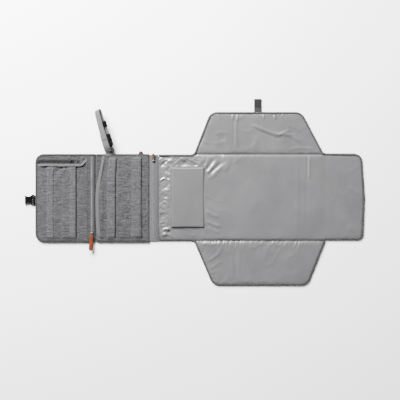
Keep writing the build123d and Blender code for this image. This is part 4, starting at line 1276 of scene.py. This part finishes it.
make_zipper("flap_zipper", "flap_zip_tape", "flap_zip_coil", "flap", TAPE_DARK, seed=3)
make_zipper("mat_zipper", "mat_zip_tape", "mat_zip_coil", "clutch_back", TAPE, seed=5,
            longer=4 * MM)
MAT_SLIDER_X1 = sides("mat_zip_slider")[1]
_, MAT_TAPE_X1, MAT_TAPE_Y0, MAT_TAPE_Y1, _, MAT_TAPE_Z = sides("mat_zip_tape")
tape_strip("mat_zipper_fold", MAT_SLIDER_X1 + 0.8 * MM, MAT_TAPE_X1 - 1.4 * MM, MAT_TAPE_Y0 + 1 * MM,
           MAT_TAPE_Y1 - 3 * MM, MAT_TAPE_Z - 0.1 * MM, MAT_TAPE_Z + 0.45 * MM, "clutch_back",
           "mat_zip_tape", TAPE_FOLD, 0.35 * MM, 15)
make_zipper("outer_zipper", "outer_zip_tape", "outer_zip_coil", "clutch_back", TAPE, up=-1, seed=9)

FLAP_PULL = sides("flap_pull_leather")
MAT_PULL = sides("mat_pull_leather")
pull_tab("flap_puller", "flap_pull_leather", "flap_pull", FLAP_PULL[3], -1, 5.6 * MM, 7.4 * MM,
         -0.055, TAN, TAN_THREAD)
pull_tab("mat_puller", "mat_pull_leather", "mat_pull", MAT_PULL[2], 1, 4.4 * MM, 5.3 * MM, 0.0, DULL_TAN,
         THREAD)
pull_tab("outer_puller", "outer_pull", "outer_pull", OUTER_PULL[2], 1, 6.4 * MM, 7.4 * MM, 0.0, RED,
         THREAD)

# ---------------------------------------------------------------------------
# Webbing


def ribbon(name, path, across, width, thick, material, body, nodes, seed=0, ripple=0.12 * MM):
    """Flat webbing along a 3-D path; across is the direction of its width at each point."""
    path = np.array(path, float)
    tangent = unit(np.gradient(path, axis=0))
    across = np.array(across, float) * np.ones_like(path)
    across = unit(across - tangent * (across * tangent).sum(1)[:, None])
    out = np.cross(tangent, across)
    along = np.arange(len(path), dtype=float)
    profile = [(-0.5, 0.0), (-0.485, 0.8), (-0.44, 1.0), (-0.2, 0.96), (0.2, 0.96), (0.44, 1.0),
               (0.485, 0.8), (0.5, 0.0), (0.485, -0.8), (0.44, -1.0), (0.0, -0.96), (-0.44, -1.0),
               (-0.485, -0.8)]
    rings = []
    for side, tall in profile:
        wobble = ripple * noise(along / 5.0, along * 0 + side, seed)
        rings.append(path + across * side * width + out * (tall * thick / 2 + wobble)[:, None])
    piece = orient(strip_object(name, np.stack(rings, 1), material))
    return finish_piece(piece, body, nodes)


def tilted(lean, tilt):
    """Which way the webbing's width points, from its lean in plan and its tilt off the floor."""
    return np.stack([np.cos(lean) * np.cos(tilt), np.sin(lean) * np.cos(tilt), np.sin(tilt)], -1)


STRAP_LEAN = math.radians(15.5)
STRAP_TILT = math.radians(45)
STRAP_ROOT = np.array([-288.5, 127.0, 12.0]) * MM
STRAP_U = np.array([-math.sin(STRAP_LEAN), math.cos(STRAP_LEAN), 0])
STRAP_W = tilted(STRAP_LEAN, STRAP_TILT)
STRAP_V = np.cross(STRAP_W, STRAP_U)
WEBBING_WIDTH = 25 * MM


def strap_point(u, v, w):
    """A place in the strap's own directions, in mm: along it, through it, across it."""
    return STRAP_ROOT + (u * STRAP_U + v * STRAP_V + w * STRAP_W) * MM


def smooth_line(points, count, passes=2):
    """A path through points with its corners eased, evenly spaced."""
    path = np.array(points, float)
    for _ in range(passes):
        first, last = path[:1], path[-1:]
        cut = np.stack([path[:-1] * 0.75 + path[1:] * 0.25, path[:-1] * 0.25 + path[1:] * 0.75], 1)
        path = np.concatenate([first, cut.reshape(-1, path.shape[1]), last])
    length = np.linalg.norm(np.diff(path, axis=0), axis=1).sum()
    return even(path, length / count)


def leg_tilt(u):
    """How far the near leg's width is tilted, u mm along the strap."""
    return np.radians(30 + 17 * smooth(u / 110))


def leg_point(u, v, w=12.5):
    """A place on the near leg, which lies flatter at its root than at its far end."""
    return STRAP_ROOT + (u * STRAP_U + v * STRAP_V + w * tilted(STRAP_LEAN, leg_tilt(u))) * MM


def make_strap():
    """The wrist loop: two legs of webbing, creased at the far end, sewn down at the near one."""
    root = [(-280.5, 121.6, 9.3), (-281, 126, 10.2), (-282.5, 131, 14), (-285, 137, 18.5)]
    points = [np.array(p) * MM for p in root]
    points += [leg_point(u, v) for u, v in ((22, 8.8), (50, 8.2), (90, 7), (124, 5.6), (138, 4.8))]
    points += [strap_point(u, v, 12.5) for u, v in ((144.5, 2.2), (145.5, 0), (144.5, -2.2), (138, -4.8),
                                                    (126, -5.4), (104, -5.9), (95, -6.3), (86, -6.9),
                                                    (72, -7.4), (59.5, -7.6))]
    path = smooth_line(points, 170)
    ahead = (path - STRAP_ROOT) @ STRAP_U / MM
    outward = (path - STRAP_ROOT) @ STRAP_V > 0
    rising = smooth((ahead + 8) / 24)
    tilts = np.where(outward, leg_tilt(ahead), STRAP_TILT) * rising
    loop = ribbon("strap_loop", path, tilted(STRAP_LEAN * rising, tilts), WEBBING_WIDTH, 1.7 * MM,
                  WEBBING, None, ["strap_webbing"], 171)
    back = [strap_point(u, v, 12.5) for u, v in ((103, -9.0), (95, -8.3), (86, -9.0), (72, -9.6),
                                                 (61, -9.4))]
    ribbon("strap_return", smooth_line(back, 40), STRAP_W, WEBBING_WIDTH, 1.3 * MM, WEBBING,
           "strap", [], 173)
    short = [strap_point(21.5, -8.3, 12.5), strap_point(16, -8.6, 12.5), strap_point(12, -9.0, 12.3)]
    short += [np.array(p) * MM for p in ((-275.5, 134, 11.8), (-274.5, 128.5, 9.4), (-274, 123.5, 8.7))]
    path = smooth_line(short, 40)
    ahead = (path - STRAP_ROOT) @ STRAP_U / MM
    tilts = STRAP_TILT * smooth((ahead + 2) / 22)
    across = tilted(STRAP_LEAN * smooth((ahead + 4) / 20), tilts)
    tail = ribbon("strap_tail", path, across, WEBBING_WIDTH, 1.2 * MM, WEBBING, None, [], 177)
    for piece in (loop, tail):
        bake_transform(piece)
    lap = [leg_point(44, 9.9), leg_point(58, 9.5), leg_point(62, 9.0)]
    lap_across = leg_point(52, 0, 1.0) - leg_point(52, 0, 0.0)
    ribbon("strap_overlap", smooth_line(lap, 20), lap_across, WEBBING_WIDTH * 0.98, 1.2 * MM,
           WEBBING, "strap", [], 179)
    rows_of = []
    for u in (46.0, 59.5):
        points = [leg_point(u, 10.25, w) for w in np.linspace(2.5, 22.5, 8)]
        rows_of.append(orient(thread_line(points, EDGING, "row", 2.4 * MM, 1.9 * MM, 0.4 * MM)))
    stitch = join("strap_stitches", rows_of)
    finish_piece(stitch, "strap")


def make_strap_root():
    """The strip that is sewn over the strap's ends on the clutch's edge."""
    ax0, ax1, ay0, ay1, az0, az1 = sides("strap_anchor")
    X, Y = np.meshgrid(np.linspace(ax0 - 2 * MM, ax1 + 1 * MM, 24),
                       np.linspace(ay0 - 4.6 * MM, ay1 - 4.2 * MM, 12))
    bow = 1.6 * MM * np.sin(np.pi * (X - ax0) / (ax1 - ax0))
    share = (Y - Y.min()) / (Y.max() - Y.min())
    Yb = Y - bow * (1 - share)
    top = az0 + 0.3 * MM + (az1 - az0) * smooth(share / 0.4)
    anchor = orient(closed_sheet("strap_anchor_sewn", X, Yb, top, az0 + 0.15 * MM, EDGING))
    row = np.column_stack([np.linspace(ax0 + 1.5 * MM, ax1 - 1.5 * MM, 12),
                           np.full(12, (ay0 + ay1) / 2 - 4.4 * MM), np.full(12, az1 + 0.1 * MM)])
    seam = orient(thread_line(row, THREAD, "anchor_thread", 2.2 * MM, 1.8 * MM, 0.32 * MM))
    anchor = join("strap_anchor_sewn", [anchor, seam])
    finish_piece(anchor, "clutch_back", ["strap_anchor"])


def make_tab():
    """The tab that holds the folded wings, with its hook patch."""
    x0, x1, y0, y1, _, _ = sides("tab_webbing")
    mid = (x0 + x1) / 2
    path = [(mid, y0 - 0.2 * MM, 2.2 * MM), (mid, y0 + 14 * MM, 2.1 * MM), (mid, y1 - 8 * MM, 2.0 * MM),
            (mid, y1 - 0.4 * MM, 2.0 * MM)]
    ribbon("tab", smooth_line(path, 40), (1, 0, 0), x1 - x0, 1.4 * MM, TAB_CLOTH, "tab",
           ["tab_webbing"], 181)
    hx0, hx1, hy0, hy1, hz0, hz1 = sides("hook_patch")
    X, Y = np.meshgrid(np.linspace(hx0, hx1, 18), np.linspace(hy0, hy1, 20))
    far = np.minimum(np.minimum(X - hx0, hx1 - X), np.minimum(Y - hy0, hy1 - Y))
    top = hz0 + 0.35 * MM + 0.55 * MM * smooth(far / (1.2 * MM))
    patch = orient(closed_sheet("tab_hooks", X, Y, top, hz0 + 0.1 * MM, HOOK))
    row = [(hx0 + 1.2 * MM, hy0 + 1.2 * MM, hz1), (hx1 - 1.2 * MM, hy0 + 1.2 * MM, hz1),
           (hx1 - 1.2 * MM, hy1 - 1.2 * MM, hz1), (hx0 + 1.2 * MM, hy1 - 1.2 * MM, hz1),
           (hx0 + 1.2 * MM, hy0 + 1.6 * MM, hz1)]
    seam = orient(thread_line(row, THREAD, "hook_thread", 2.6 * MM, 2.0 * MM))
    patch = join("tab_hooks", [patch, seam])
    finish_piece(patch, "tab", ["hook_patch"])


def make_loop_patch():
    """The soft half of the tab's fastening, under the bottom wing."""
    x0, x1, y0, y1, z0, z1 = sides("loop_patch")
    X, Y = np.meshgrid(np.linspace(x0, x1, 24), np.linspace(y0, y1, 20))
    far = np.minimum(np.minimum(X - x0, x1 - X), np.minimum(Y - y0, y1 - Y))
    low = z0 + 0.25 * MM * (1 - smooth(far / (1.2 * MM)))
    patch = orient(closed_sheet("wing_loop_patch", X, Y, np.full_like(X, z1 + 0.05 * MM), low, LOOP))
    finish_piece(patch, "wing_bottom", ["loop_patch"])


def around_bar(x, z, wide, tall, first, sweep, count):
    """Places of webbing round a bar that runs along Y, over a sweep of degrees."""
    angles = np.radians(first + sweep * np.linspace(0, 1, count))
    return np.stack([x + wide * np.cos(angles), 0 * angles, z + tall * np.sin(angles)], 1)


def make_closure_webbing():
    """Short webbing folded round the buckle bars and sewn into the clutch's edges."""
    _, sewn_x, y0, y1, _, _ = sides("closure_webbing")
    x, z = -530.8 * MM, 4.3 * MM
    path = [(sewn_x - 0.2 * MM, 0, z - 0.5 * MM), (x + 3.4 * MM, 0, z - 1.2 * MM),
            *around_bar(x, z, 4.0 * MM, 2.65 * MM, -40, -280, 17),
            (x + 3.4 * MM, 0, z + 1.2 * MM), (sewn_x - 0.2 * MM, 0, z + 0.5 * MM)]
    ribbon("closure_loop", smooth_line(np.array(path) + (0, (y0 + y1) / 2, 0), 60, 1), (0, 1, 0),
           WEBBING_WIDTH - 0.4 * MM, 0.9 * MM, BLACK_WEB, "flap", ["closure_webbing"], 191,
           0.04 * MM)
    _, _, y0, y1, _, _ = sides("plug_webbing")
    x, z = -156 * MM, 2.3 * MM
    path = [(x - 10.5 * MM, 0, 3.4 * MM), (x - 6 * MM, 0, z - 0.3 * MM), (x - 2.6 * MM, 0, z - 1.4 * MM),
            *around_bar(x, z, 1.7 * MM, 1.7 * MM, -110, 220, 11),
            (x - 2.6 * MM, 0, z + 1.3 * MM), (x - 6 * MM, 0, z + 0.9 * MM), (x - 10.5 * MM, 0, 4.6 * MM)]
    ribbon("plug_loop", smooth_line(np.array(path) + (0, (y0 + y1) / 2, 0), 60, 1), (0, 1, 0),
           WEBBING_WIDTH - 0.4 * MM, 0.5 * MM, HEATHER_BAND, "clutch_back",
           ["plug_webbing"], 193, 0.02 * MM)


make_strap()
make_strap_root()
make_tab()
make_loop_patch()
make_closure_webbing()

# ---------------------------------------------------------------------------
# Hard parts keep their CAD shape: they get a finish and softened edges


def soften(node, material, width):
    """A finish and rounded edges for a CAD node that keeps its own mesh."""
    obj = bpy.data.objects[node]
    obj.data.materials.clear()
    obj.data.materials.append(material)
    bevel = obj.modifiers.new("edges", "BEVEL")
    bevel.width = width
    bevel.segments = 3
    bevel.limit_method = "ANGLE"
    bevel.angle_limit = math.radians(35)
    bevel.harden_normals = False


BLACK_PARTS = ["closure_buckle_socket", "closure_buckle_plug", "strap_buckle_socket",
               "strap_buckle_plug", "strap_arm_low", "strap_arm_high", "strap_glide"]
METAL_PARTS = ["flap_zip_slider", "mat_zip_slider", "outer_zip_slider", "flap_pull_link",
               "mat_pull_link"]
for part in BLACK_PARTS:
    soften(part, BLACK, 0.45 * MM)
for part in METAL_PARTS:
    soften(part, NICKEL, 0.25 * MM)
